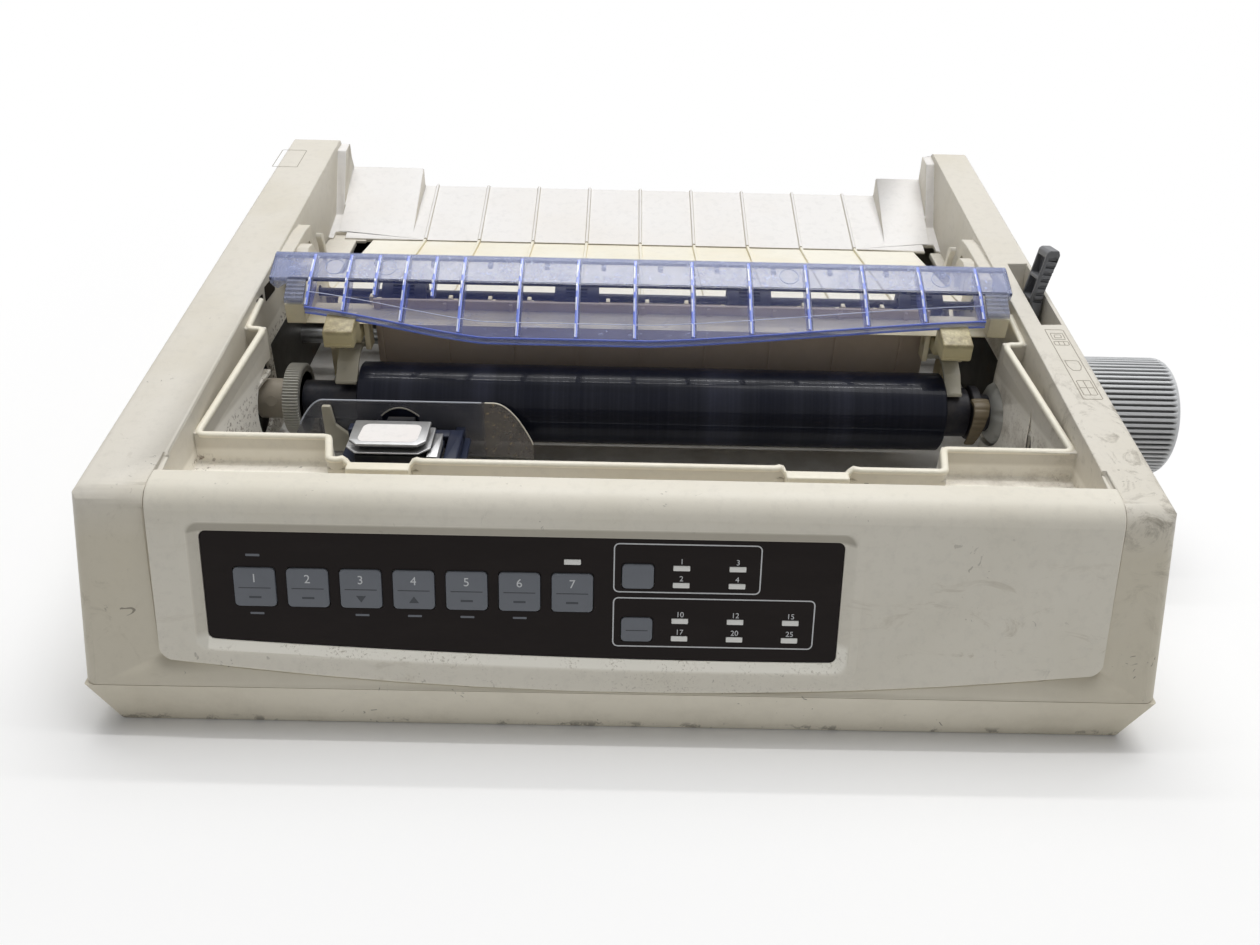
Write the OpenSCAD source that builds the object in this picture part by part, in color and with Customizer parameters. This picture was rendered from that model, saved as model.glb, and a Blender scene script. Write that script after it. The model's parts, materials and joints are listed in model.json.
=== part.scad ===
// Narrow-carriage impact printer with its access cover lifted off.
// Millimetres. X to the right (the knob's side), Y to the back, Z up.
// The origin is the middle of the case's footprint, on the surface it stands on.

/* [Case] */
// Greatest width, at the line where the two case halves meet
case_w = 398; // [392:1:404]
// Depth from front to back
case_d = 345; // [341:1:350]
// Height of the side rails at the back
rail_back_h = 116; // [114:0.5:119]
// Height of the side rails at the front
rail_front_h = 93; // [91:0.5:95]
// Height of the line where the case halves meet
seam_h = 21; // [18:0.5:24]
// How far each side leans in at the top
side_draft = 5; // [3:0.5:7]
// How far the front leans back at its top edge
front_lean = 21.5; // [18:0.5:24]
// How far the back leans in at its top edge
back_lean = 2.5; // [1:0.5:4]
// How far the lower case draws in at the bottom of each side
side_toe = 8.5; // [6:0.5:11]
// How far the lower case draws in at the bottom of its front and back
end_toe = 3; // [1:0.5:5]
// Radius of the rolled edge over the front
nose_r = 9; // [6:0.5:11]
// Radius of the upright corners
corner_r = 5; // [3:0.5:7]
// Radius along the rails' outer edges
rail_edge_r = 3.5; // [2:0.5:5]
// Wall of the case mouldings
wall = 2.6; // [2.2:0.1:3]
// Depth of the skirt under the case floor
skirt_h = 3; // [2:0.5:4]
// Gap between the two case halves
seam_gap = 0.3; // [0.2:0.1:0.5]

/* [Opening] */
// Width of the left rail's top
left_rail_w = 26.5; // [24:0.5:28]
// Width of the right rail's top
right_rail_w = 19.5; // [18.5:0.5:21]
// Width of the strip between the front edge and the opening
front_strip = 12; // [10:0.5:14]
// Height of the gutter floor round the mechanism well
gutter_h = 76; // [74.5:0.5:78]
// Wall of the well
well_wall = 2.2; // [1.8:0.1:2.6]
// Height of the well's lower edge
well_bottom_h = 34; // [33:0.5:38]
// Height of the well's rim at its front
rim_front_h = 88; // [86:0.5:90]
// Rise of the rim over the well's depth
rim_rise = 10; // [8:0.5:11]
// Distance from the platen's axis forward to the well's front corners
well_front = 71; // [69:0.5:73]
// How much further forward the middle of the well's front reaches
well_jog = 18.5; // [17:0.5:20]
// Radius of the holes in the well's sides round the platen's axis
well_hole_r = 20; // [18:0.5:21]

/* [Rear deck] */
// Depth of the ribbed deck at the back
deck_d = 56.5; // [54:0.5:60]
// Height of the deck's front edge
deck_front_h = 77.3; // [76:0.1:79]
// Height of the deck's back edge
deck_back_h = 88.8; // [87:0.1:91]
// Number of paper ribs on the deck
rib_count = 9; // [5:1:11]
// Distance from rib to rib
rib_pitch = 29.9; // [26:0.1:32]
// Width of a paper rib
rib_w = 1.6; // [1.2:0.1:2.4]
// Height of a paper rib
rib_h = 1.4; // [0.8:0.1:2]
// Offset of the middle rib from the middle of the opening
rib_shift = 2.7; // [0:0.1:4]
// Width of the raised pad at the deck's left end
left_pad_w = 41.5; // [38:0.5:46]
// Width of the raised pad at the deck's right end
right_pad_w = 25; // [22:0.5:30]
// Height of the pads above the deck's back edge
pad_rise = 11; // [8:0.5:13]

/* [Front panel] */
// Width of the front panel
panel_w = 345; // [335:1:350]
// How far the panel stands proud of the case
panel_proud = 1.2; // [0.8:0.1:1.6]
// Depth of the seat that the panel lies in
panel_seat = 1.8; // [1.4:0.1:2]
// Thickness of the case behind the panel's seat
panel_backing = 2.2; // [1.8:0.1:2.6]
// Gap round the panel's edge
panel_gap = 0.4; // [0.3:0.1:0.6]
// Lowest point of the panel, measured up the front from the case joint
panel_low = 1; // [0.5:0.5:3]
// Radius of the panel's curved lower edge
panel_sweep_r = 1400; // [1200:50:1800]
// Radius of the panel's lower corners
panel_corner_r = 6; // [4:0.5:8]
// Left edge of the control window
window_x0 = -151.3; // [-153:0.1:-149]
// Width of the control window
window_w = 229.3; // [227:0.1:232]
// Top of the control window, measured up the front
window_top = 61.3; // [60.5:0.1:62.5]
// Lowest point of the control window, measured up the front
window_low = 13.6; // [12:0.1:15]
// Radius of the control window's curved lower edge
window_sweep_r = 3300; // [3000:100:4000]
// Radius of the control window's corners
window_corner_r = 2.5; // [1.5:0.5:4]
// Width of the sloping frame round the window
window_bevel = 4.5; // [3:0.5:5]
// Thickness of the dark plate in the window
overlay_t = 0.8; // [0.6:0.1:1]

/* [Keys and lamps] */
// Number of large keys
key_count = 7; // [5:1:7]
// Distance from key to key
key_pitch = 18.97; // [18.5:0.05:19.5]
// Middle of the first key, from the window's left edge
key_first = 18.5; // [17:0.5:20]
// Height of the row of keys, measured up the front
key_row = 40; // [37:0.5:43]
// Side of a large key
key_size = 14.9; // [13:0.1:16]
// Width of a small key
small_key_w = 11.4; // [10:0.1:12.5]
// Height of a small key
small_key_h = 9.4; // [8.5:0.1:10.5]
// Middle of the small keys, from the window's left edge
small_key_x = 155.8; // [154:0.1:158]
// Height of the upper small key, measured up the front
small_key_high = 46.9; // [45:0.1:49]
// Height of the lower small key, measured up the front
small_key_low = 26; // [24:0.1:28]
// How far a key stands out of the dark plate
key_proud = 0.7; // [0.5:0.1:0.9]
// How far a key travels
key_travel = 0.8; // [0.6:0.1:1]
// Gap between a key and its hole
key_gap = 0.25; // [0.2:0.05:0.4]
// Radius of a key's corners
key_corner_r = 1.4; // [0.8:0.1:2]
// Width of a lamp
lamp_w = 6; // [5:0.1:7]
// Height of a lamp
lamp_h = 2; // [1.6:0.1:2.4]
// Distance from lamp to lamp along a row
lamp_pitch = 20.1; // [19:0.1:21]

/* [Platen] */
// Distance of the platen's axis in front of the middle of the case
platen_back = 33; // [31:0.5:35]
// Height of the platen's axis
platen_h = 62; // [61:0.5:63]
// Radius of the platen's rubber
platen_r = 17.5; // [16.5:0.1:18]
// Length of the platen's rubber
platen_l = 259.6; // [257:0.2:261]
// Thickness of the platen's rubber
platen_rubber = 3; // [2:0.5:4]
// Radius of the platen's shaft
shaft_r = 4; // [3.5:0.1:4.5]
// Clearance between a running shaft and its hole
run_gap = 0.06; // [0.03:0.01:0.09]
// Radius of the platen's right collar
collar_r = 11; // [10:0.5:12]
// Radius of the sleeve left of the platen
sleeve_r = 8.6; // [8:0.2:9]
// Radius of the platen knob
knob_r = 26.5; // [25:0.5:28]
// Length of the platen knob
knob_l = 39; // [35:1:42]
// Number of grip ribs round the knob
knob_ribs = 64; // [48:1:72]
// Gap between the case's side and the knob
knob_gap = 2.5; // [2:0.5:4]

/* [Gears] */
// Module of the paper-feed gears
gear_module = 0.7; // [0.65:0.01:0.72]
// Teeth on the platen's gear
platen_teeth = 58; // [56:1:58]
// Teeth on the idler gear
idler_teeth = 30; // [28:1:32]
// Teeth on the motor's pinion
pinion_teeth = 14; // [14:1:16]
// Width of the gears' teeth
gear_w = 7; // [5:0.5:7]

/* [Mechanism] */
// Thickness of the steel side frames
frame_t = 2; // [1.6:0.1:2.4]
// Gap between the well's sides and the side frames
frame_gap = 2; // [1.5:0.5:2.5]
// Height of the mechanism's bed plate
bed_h = 28; // [27:0.5:29]
// Thickness of the bed plate
bed_t = 2; // [1.5:0.1:2.5]
// Distance of the guide shaft in front of the platen's axis
guide_ahead = 49; // [47:0.5:51]
// Height of the guide shaft
guide_h = 46; // [45:0.5:47]
// Radius of the guide shaft
guide_r = 5; // [4.5:0.1:5.5]
// Height of the timing belt's middle
belt_h = 38; // [37:0.5:39]
// Width of the timing belt
belt_w = 6; // [5:0.5:7]
// Thickness of the timing belt
belt_t = 1.2; // [1:0.1:1.5]
// Radius of the belt's pulleys
pulley_r = 6; // [5.5:0.1:6.5]
// Distance of the pulleys' axes in front of the guide shaft
belt_ahead = 19; // [18:0.5:20]
// Middle of the print head at its parked place
head_x = -98.5; // [-100:0.5:-97]
// Height of the head's top plate over its carriage
head_rise = 12.6; // [11:0.2:14]
// Width of the print head's top plate
head_w = 32; // [30:0.5:34]
// Depth of the print head's top plate
head_d = 18.5; // [17:0.5:20]
// Length of the ribbon shield
shield_l = 104; // [100:1:106]
// Height of the ribbon shield's top edge
shield_top_h = 74.5; // [73:0.5:76]
// Height of the ribbon shield's bottom edge
shield_bottom_h = 47; // [45:0.5:49]
// Thickness of the ribbon shield
shield_t = 0.6; // [0.5:0.1:0.8]
// Gap between the platen and the ribbon shield
shield_gap = 4.4; // [4.2:0.1:5]

/* [Paper guide] */
// Left end of the paper guide, from the opening's left edge
guide_left = 16.5; // [14:0.5:18]
// Right end of the paper guide, from the opening's right edge
guide_right = 7; // [6.5:0.5:8]
// Depth of the guide's front beam
beam_d = 20; // [18:0.5:22]
// Height of the front beam's lower edge
beam_h = 96; // [95:0.5:97]
// Height of the guide's plate behind the roller slot
plate_front_h = 93.5; // [92:0.5:95]
// Radius of the pull-up roller's shaft
pull_shaft_r = 3; // [2.5:0.1:3.3]
// Radius of a pull-up roller
pull_roller_r = 6.5; // [6:0.1:7]
// Distance of the pull-up roller behind the platen's axis
pull_back = 36; // [35:0.5:37]
// Height of the pull-up roller's axis
pull_h = 98; // [97:0.5:99]
// Number of pull-up rollers
pull_rollers = 4; // [2:1:4]
// Distance from roller to roller
pull_pitch = 79; // [76:1:80]
// Number of posts across the roller slot
post_count = 16; // [10:1:18]

/* [Clear cover] */
// Height of the cover's rear edge
cover_back_h = 118.7; // [117:0.1:120]
// Height of the cover's crease
cover_crease_h = 113; // [112:0.1:115]
// Height of the cover's front lip
cover_lip_h = 98.5; // [97:0.1:100]
// Depth of the cover's flat rear strip
cover_strip_d = 15; // [13:0.5:17]
// Depth of the cover from its crease to its lip
cover_slope_d = 25; // [23:0.5:27]
// How far the lip draws back at each end
cover_lip_taper = 12; // [10:0.5:14]
// Thickness of the cover
cover_t = 1.8; // [1.5:0.1:2.2]
// Distance from fin to fin under the cover
fin_pitch = 25.4; // [22:0.1:28]
// Thickness of a fin
fin_t = 1.6; // [1.2:0.1:2]

/* [Paper lever] */
// Width of the lever across the rail
lever_w = 6.4; // [6:0.1:6.8]
// Depth of the lever from front to back
lever_d = 12; // [10:0.5:13]
// Height of the lever's tip above its pivot
lever_l = 69; // [66:1:72]
// Height of the lever's pivot
lever_pivot_h = 56; // [55:0.5:57]
// Angle that the lever leans back, in degrees
lever_lean = 10.5; // [9:0.5:12]
// Length of the pocket that the lever stands in
pocket_l = 59; // [56:1:61]
// Width of the pocket
pocket_w = 9; // [8.6:0.1:9.4]
// Depth of the pocket below the rail
pocket_depth = 22; // [20:0.5:24]

/* [Hidden] */
$fn = 64;

// Case outline
half_w = case_w/2;
half_d = case_d/2;
front_top_y = -half_d + front_lean;
back_top_y = half_d - back_lean;
rail_rise = (rail_back_h - rail_front_h)/(back_top_y - front_top_y);
rail_slope = atan(rail_rise);
front_slope = atan(front_lean/(rail_front_h - seam_h));
top_half_w = half_w - side_draft;
draft_rate = side_draft/(rail_back_h - seam_h);
floor_top = skirt_h + wall;
back_edge_r = 4;
eps = 0.01;

// Opening between the rails
open_x0 = -top_half_w + left_rail_w;
open_x1 = top_half_w - right_rail_w;
open_mid = (open_x0 + open_x1)/2;
open_y0 = front_top_y + front_strip;
deck_y0 = half_d - deck_d;
deck_slope = (deck_back_h - deck_front_h)/deck_d;
rib_first = open_mid + rib_shift - (rib_count - 1)/2*rib_pitch;

// Platen and the shafts round it
platen_y = -platen_back;
platen_x0 = open_mid - 7 - platen_l/2 + 14.6;
platen_x1 = platen_x0 + platen_l;
frame_x0 = open_x0 - frame_gap - frame_t;
frame_x1 = open_x1 + frame_gap + 2;
knob_x0 = half_w + knob_gap;
knob_x1 = knob_x0 + knob_l;
gear_x0 = platen_x0 - 33;
gear_x1 = gear_x0 + gear_w;
gear_hub_x0 = gear_x0 - 13.5;
bush_r = 7;
bush_flange_r = 9;

// Well round the mechanism
well_y0 = platen_y - well_front;
rim_rate = rim_rise/(well_front + 17);
well_back_y = -8;
well_step_y = platen_y + 2;

// Gear train
platen_pitch_r = gear_module*platen_teeth/2;
idler_pitch_r = gear_module*idler_teeth/2;
pinion_pitch_r = gear_module*pinion_teeth/2;
mesh_gap = 0.08;
idler_dir = -50;
pinion_dir = -30;
idler_at = [platen_y, platen_h]
  + (platen_pitch_r + idler_pitch_r + mesh_gap)*[cos(idler_dir), sin(idler_dir)];
pinion_at = idler_at
  + (idler_pitch_r + pinion_pitch_r + mesh_gap)*[cos(pinion_dir), sin(pinion_dir)];
idler_phase = idler_dir + 180 + 180/idler_teeth;
pinion_phase = pinion_dir + 180 + (pinion_dir - idler_phase)*idler_teeth/pinion_teeth
  + 180/pinion_teeth;
stud_r = 3;
motor_r = 17.5;
motor_l = 22;
motor_shaft_r = 2;
bracket_x0 = gear_x1 + 0.6;
bracket_t = 1.6;

// Carriage and its belt
guide_y = platen_y - guide_ahead;
belt_y = guide_y - belt_ahead;
pulley_x0 = head_x - 44;
pulley_x1 = frame_x1 - 27;
belt_gap = 0.3;
pulley_flange_r = pulley_r + 2.2;
upright_x0 = gear_x0 - 5;
upright_x1 = frame_x1 - 18.5;
upright_t = 2;
upright_h = 59;
carriage_x0 = head_x - 21;
carriage_x1 = head_x + 31;
carriage_top_h = 60;
head_top_h = carriage_top_h + head_rise;
shield_y = platen_y - platen_r - shield_gap;
shield_x1 = head_x + 57.5;
shield_x0 = shield_x1 - shield_l;
head_y = guide_y + 5.5;

// Paper guide, pull-up roller and clear cover
guide_x0 = open_x0 + guide_left;
guide_x1 = open_x1 - guide_right;
block_w = 8.5;
beam_under_h = beam_h + 4.2;
pull_y = platen_y + pull_back;
beam_y1 = pull_y - pull_roller_r - 0.8;
beam_y0 = beam_y1 - beam_d;
slot_y1 = pull_y + pull_roller_r + 2;
guide_back_y = deck_y0 - 1;
guide_back_h = deck_front_h - 0.3;
guide_t = 2.4;
roller_first = open_mid - 28 - (pull_rollers - 1)/2*pull_pitch + 40;
cover_y0 = -cover_strip_d - cover_slope_d;
cover_pivot = [pull_y + 7, pull_h + 7];
cover_pin_r = 2;
cover_x0 = guide_x0 - cover_t - 6.2;
cover_x1 = guide_x1 + cover_t + 0.5;
main_x0 = guide_x0 + 9.6;
main_x1 = guide_x1 - 11.4;
fin_first = main_x0 + 17;
block_top_h = pull_h + 6.6;
ear_top_h = cover_pivot[1] + 4.5;
latch_pin_r = 2;
latch_pivot = [beam_y0 + 7, beam_h - 6];
latch_w = 13;
left_latch_x0 = platen_x0 - 13.1;
right_latch_x0 = platen_x1 - 4.9;

// Rail pocket and paper lever
pocket_x1 = top_half_w - 2.4;
pocket_x0 = pocket_x1 - pocket_w;
pocket_y0 = platen_y + 10;
pocket_y1 = pocket_y0 + pocket_l;
lever_x0 = pocket_x0 + 0.5;
lever_pivot_y = -1.5;
lever_pin_r = 3;

// Front face: x stays, the second axis runs up the front, the third points outwards
seat_n = -panel_seat;
backing_n = seat_n - panel_backing;
overlay_n = seat_n + overlay_t;
panel_x0 = open_mid - panel_w/2;
panel_x1 = open_mid + panel_w/2;
window_x1 = window_x0 + window_w;
key_depth = 4.2;
board_n = overlay_n - key_depth - key_travel - 2.6;
board_t = 1.6;

// Where each key lies on the front, and its size
key_places = concat(
  [for (i = [0:key_count - 1]) [window_x0 + key_first + i*key_pitch, key_row, key_size, key_size]],
  [[window_x0 + small_key_x, small_key_high, small_key_w, small_key_h],
   [window_x0 + small_key_x, small_key_low, small_key_w, small_key_h]]
);
lamp_x = window_x0 + small_key_x + 15.6;
lamp_places = [
  [window_x0 + key_first + (key_count - 1)*key_pitch, key_row + key_size/2 + 4.4],
  [lamp_x, small_key_high + 3.3], [lamp_x + lamp_pitch, small_key_high + 3.3],
  [lamp_x, small_key_high - 3.3], [lamp_x + lamp_pitch, small_key_high - 3.3],
  [lamp_x, small_key_low + 3.5], [lamp_x + lamp_pitch, small_key_low + 3.5],
  [lamp_x + 2*lamp_pitch, small_key_low + 3.5],
  [lamp_x, small_key_low - 3.5], [lamp_x + lamp_pitch, small_key_low - 3.5],
  [lamp_x + 2*lamp_pitch, small_key_low - 3.5]
];

// Height of the rail's top at a distance y
function rail_z(y) = rail_front_h + (y - front_top_y)*rail_rise;
// Height of the well's rim at a distance y
function rim_z(y) = rim_front_h + (y - well_y0)*rim_rate;
// Height of the deck's surface at a distance y
function deck_z(y) = deck_front_h + (y - deck_y0)*deck_slope;
// Half the case's width at a height z above the joint
function side_x(z) = half_w - (z - seam_h)*draft_rate;
// Height of the guide plate's top at a distance y
function plate_z(y) = guide_back_h
  + (guide_back_y - y)*(plate_front_h - guide_back_h)/(guide_back_y - slot_y1);
// Underside of the clear cover at a distance y
function cover_z(y) = y > -cover_strip_d
  ? cover_crease_h + (y + cover_strip_d)*(cover_back_h - cover_crease_h)/cover_strip_d
  : cover_lip_h + (y - cover_y0)*(cover_crease_h - cover_lip_h)/cover_slope_d;

function unit(v) = v/norm(v);
function heading(v) = atan2(v[1], v[0]);
function outward(a, b) = unit([b[1] - a[1], a[0] - b[0]]);
// A closed outline, counter-clockwise, with each edge moved outwards by d
function grown(pts, d) = [
  for (i = [0:len(pts) - 1])
    let (p = pts[(i + len(pts) - 1)%len(pts)], q = pts[i], r = pts[(i + 1)%len(pts)],
         m = outward(p, q), n = outward(q, r))
    q + d*(m + n)/(1 + m*n)
];
// The arc that rounds corner q between p and r, from a tangent point to the other
function fillet(p, q, r, rad, steps) =
  let (u = unit(p - q), v = unit(r - q), half = acos(u*v)/2, mid = q + unit(u + v)*rad/sin(half),
       from = q + u*rad/tan(half) - mid, to = q + v*rad/tan(half) - mid,
       a = atan2(from[1], from[0]), turn = atan2(from[0]*to[1] - from[1]*to[0], from*to))
  [for (k = [0:steps]) mid + rad*[cos(a + turn*k/steps), sin(a + turn*k/steps)]];
// A closed outline with its corners rounded, one radius a corner
function rounded(pts, radii, steps = 6) = [
  for (i = [0:len(pts) - 1])
    let (p = pts[(i + len(pts) - 1)%len(pts)], q = pts[i], r = pts[(i + 1)%len(pts)])
    each radii[i] > 0 ? fillet(p, q, r, radii[i], steps) : [q]
];
function same(n, r) = [for (i = [1:n]) r];
// One side of a strip that follows an open path
function strip_side(pts, d) = [
  for (i = [0:len(pts) - 1])
    let (m = outward(pts[max(i - 1, 0)], pts[max(i, 1)]),
         n = outward(pts[min(i, len(pts) - 2)], pts[min(i + 1, len(pts) - 1)]))
    pts[i] + d*(m + n)/(1 + m*n)
];
function backwards(pts) = [for (i = [len(pts) - 1:-1:0]) pts[i]];
// An outline with straight-sided teeth: flat_in and flat_out are the shares of the pitch
// that the gap's floor and the tooth's tip take
function toothed(teeth, root_r, tip_r, flat_in, flat_out, phase) = [
  for (i = [0:teeth - 1], k = [[-0.5 + flat_in/2, root_r], [-flat_out/2, tip_r],
                              [flat_out/2, tip_r], [0.5 - flat_in/2, root_r]])
    let (a = phase + (i + k[0])*360/teeth) k[1]*[cos(a), sin(a)]
];

// The case's side, front and rail outlines, each drawn in by inset
function side_outline(inset) = rounded(
  grown([[-half_d + end_toe, 0], [half_d - end_toe, 0], [half_d, seam_h], [back_top_y, rail_back_h],
         [front_top_y, rail_front_h], [-half_d, seam_h]], -inset),
  [0, 0, 0, back_edge_r, nose_r - inset, 0]);
function front_outline(inset) =
  let (top = rail_back_h + 6)
  grown([[-half_w + side_toe, 0], [half_w - side_toe, 0], [half_w, seam_h], [side_x(top), top],
         [-side_x(top), top], [-half_w, seam_h]], -inset);
function rail_outline(inset) =
  let (reach = 220, flare = 0.12, w = top_half_w + 0.6)
  rounded(grown([[-w - reach*flare, -reach], [w + reach*flare, -reach], [w, 0], [-w, 0]], -inset),
          [0, 0, rail_edge_r, rail_edge_r]);

// The well's wall, along the middle of its thickness
well_path = [
  [open_x0 + 0.8, well_back_y], [open_x0 + 0.8, well_step_y], [open_x0 + 8, well_step_y],
  [open_x0 + 1, well_y0], [head_x - 17, well_y0], [head_x - 12.5, well_y0 - well_jog],
  [platen_x1 - 22, well_y0 - well_jog], [platen_x1 - 18, well_y0], [open_x1 - 1, well_y0],
  [open_x1 - 9, well_step_y], [open_x1 - 0.8, well_step_y], [open_x1 - 0.8, well_back_y]
];
function well_outline(w) = concat(strip_side(well_path, w/2), backwards(strip_side(well_path, -w/2)));

// The panel's lower edge and the whole panel outline on the front
function panel_edge(x) = panel_low + pow(x - open_mid, 2)/(2*panel_sweep_r);
panel_top = 84;
function panel_outline(d) =
  let (steps = 24, x0 = panel_x0 - d, x1 = panel_x1 + d,
       low = [for (k = [0:steps]) let (x = x0 + (x1 - x0)*k/steps) [x, panel_edge(x) - d]])
  rounded(concat([[x0, panel_top]], low, [[x1, panel_top]]),
          concat([0, panel_corner_r], same(steps - 1, 0), [panel_corner_r, 0]));
// The control window on the front, grown outwards by d
function window_edge(x) = window_low + pow(x - (window_x0 + window_w*0.84), 2)/(2*window_sweep_r);
function window_outline(d) =
  let (steps = 12,
       low = [for (k = [0:steps]) let (x = window_x0 + window_w*k/steps) [x, window_edge(x)]])
  rounded(grown(concat([[window_x0, window_top]], low, [[window_x1, window_top]]), d),
          concat([window_corner_r, window_corner_r], same(steps - 1, 0),
                 [window_corner_r, window_corner_r]));

module block(a, b) {
  translate(a) cube(b - a);
}
// A drawing of the Y-Z plane carried along X
module along_x(x0, x1) {
  translate([x0, 0, 0]) rotate([90, 0, 90]) linear_extrude(x1 - x0) children();
}
// A drawing of the X-Z plane carried along Y
module along_y(y0, y1) {
  translate([0, y1, 0]) rotate([90, 0, 0]) linear_extrude(y1 - y0) children();
}
module rod_x(x0, x1, r, at) {
  translate([x0, at[0], at[1]]) rotate([0, 90, 0]) cylinder(h = x1 - x0, r = r);
}
module rod_z(z0, z1, r, at) {
  translate([at[0], at[1], z0]) cylinder(h = z1 - z0, r = r);
}
// The front face's own axes
module on_front() {
  translate([0, -half_d, seam_h]) rotate([90 - front_slope, 0, 0]) children();
}
// A plate between two levels of the front face
module front_plate(n0, n1) {
  on_front() translate([0, 0, n0]) linear_extrude(n1 - n0) children();
}
module rounded_square(size, r) {
  w = size[0]/2;
  h = size[1]/2;
  polygon(rounded([[-w, -h], [w, -h], [w, h], [-w, h]], same(4, r)));
}

// The case's whole form, drawn in by inset
module case_form(inset) {
  intersection() {
    along_x(-half_w - 5, half_w + 5) polygon(side_outline(inset));
    along_y(-half_d - 5, half_d + 5) polygon(front_outline(inset));
    translate([0, front_top_y, rail_front_h]) rotate([rail_slope, 0, 0])
      along_y(-case_d, case_d) polygon(rail_outline(inset));
  }
}
// What rounds an upright corner, from the joint up: side and end are 1 or -1
module corner_cutter(side, end) {
  lean = end < 0 ? front_lean : back_lean;
  rise = end < 0 ? rail_front_h - seam_h : rail_back_h - seam_h;
  run = unit([-side*draft_rate*rise, -end*lean, rise]);
  out = unit([side, 0, draft_rate]);
  away = unit(cross(run, out))*(side*end);
  translate([side*half_w, end*half_d, seam_h])
    multmatrix([[out[0], away[0], run[0], 0], [out[1], away[1], run[1], 0],
                [out[2], away[2], run[2], 0], [0, 0, 0, 1]])
      translate([0, 0, -8]) difference() {
        translate([-corner_r, -corner_r, 0]) cube([corner_r + 3, corner_r + 3, 150]);
        translate([-corner_r, -corner_r, -1]) cylinder(h = 152, r = corner_r);
      }
}

module well_wall_ring() {
  difference() {
    intersection() {
      translate([0, 0, well_bottom_h]) linear_extrude(90) polygon(well_outline(well_wall));
      along_x(open_x0 - 5, open_x1 + 5)
        polygon([[-case_d, well_bottom_h], [case_d, well_bottom_h], [case_d, rim_z(case_d)],
                 [-case_d, rim_z(-case_d)]]);
    }
    rod_x(open_x0 - 4, open_x0 + 14, well_hole_r, [platen_y, platen_h]);
    rod_x(open_x1 - 14, open_x1 + 4, 15.2, [platen_y, platen_h]);
    // Tall notch in the right side
    along_x(open_x1 - 9, open_x1 + 4)
      polygon([[well_y0 + 16, well_bottom_h + 10], [well_y0 + 30, well_bottom_h + 10],
               [well_y0 + 36, rim_z(well_y0) - 4]]);
    // Ways through the front wall for the belt
    for (x = [pulley_x0 - 12, platen_x1 - 25])
      block([x, well_y0 - 8, well_bottom_h - 1], [x + (x < 0 ? 46 : 48), well_y0 + 4, belt_h + 10]);
    // Low places that take the cover's latches
    for (x = [head_x + 6, platen_x1 - 70])
      block([x - 12, well_y0 - well_jog - 3, rim_z(well_y0 - well_jog) - 3.4],
            [x + 12, well_y0 - well_jog + 3, rim_front_h + 5]);
  }
}

// The ribbed deck between the rails, with its raised end pads
module deck() {
  along_x(open_x0 - wall, open_x1 + wall)
    polygon([[deck_y0, deck_front_h - 2.4], [half_d - wall, deck_z(half_d - wall) - 2.4],
             [half_d - wall/2, deck_z(half_d)], [deck_y0, deck_front_h]]);
  for (i = [0:rib_count - 1])
    along_x(rib_first + i*rib_pitch - rib_w/2, rib_first + i*rib_pitch + rib_w/2)
      polygon([[deck_y0, deck_front_h - 1], [half_d - 1, deck_z(half_d) - 1],
               [half_d - 1, deck_z(half_d) + rib_h], [deck_y0, deck_front_h + rib_h]]);
  for (p = [[open_x0 + 5, left_pad_w], [open_x1 - 5 - right_pad_w, right_pad_w]])
    along_x(p[0], p[0] + p[1])
      polygon([[deck_y0 + 1, deck_front_h - 1], [half_d - 1, deck_z(half_d) - 1],
               [half_d - 1, deck_back_h + pad_rise]]);
  // Gusset at each rail's rear end
  for (x = [open_x0 - 1, open_x1 - 5])
    along_x(x, x + 6)
      polygon([[half_d - deck_d*0.66, deck_front_h], [half_d - 1, deck_back_h - 3],
               [half_d - 1.6, rail_z(half_d) - 3], [half_d - 13, rail_z(half_d) - 4]]);
}
// Ear inside each rail that holds the access cover's hinge pin
module cover_ears() {
  for (x = [open_x0 - 1, open_x1 - 6])
    difference() {
      along_x(x, x + 7)
        polygon([[31, gutter_h + 8], [40, gutter_h + 2], [62, gutter_h + 2], [67, gutter_h + 10],
                 [67, rail_z(67) - 4], [58, rail_z(58) - 2.5], [31, rail_z(31) - 1.5]]);
      rod_x(x < 0 ? x + 3.5 : x - 1, x < 0 ? x + 9 : x + 3.5, 2.5, [60, gutter_h + 20]);
    }
}

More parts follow.
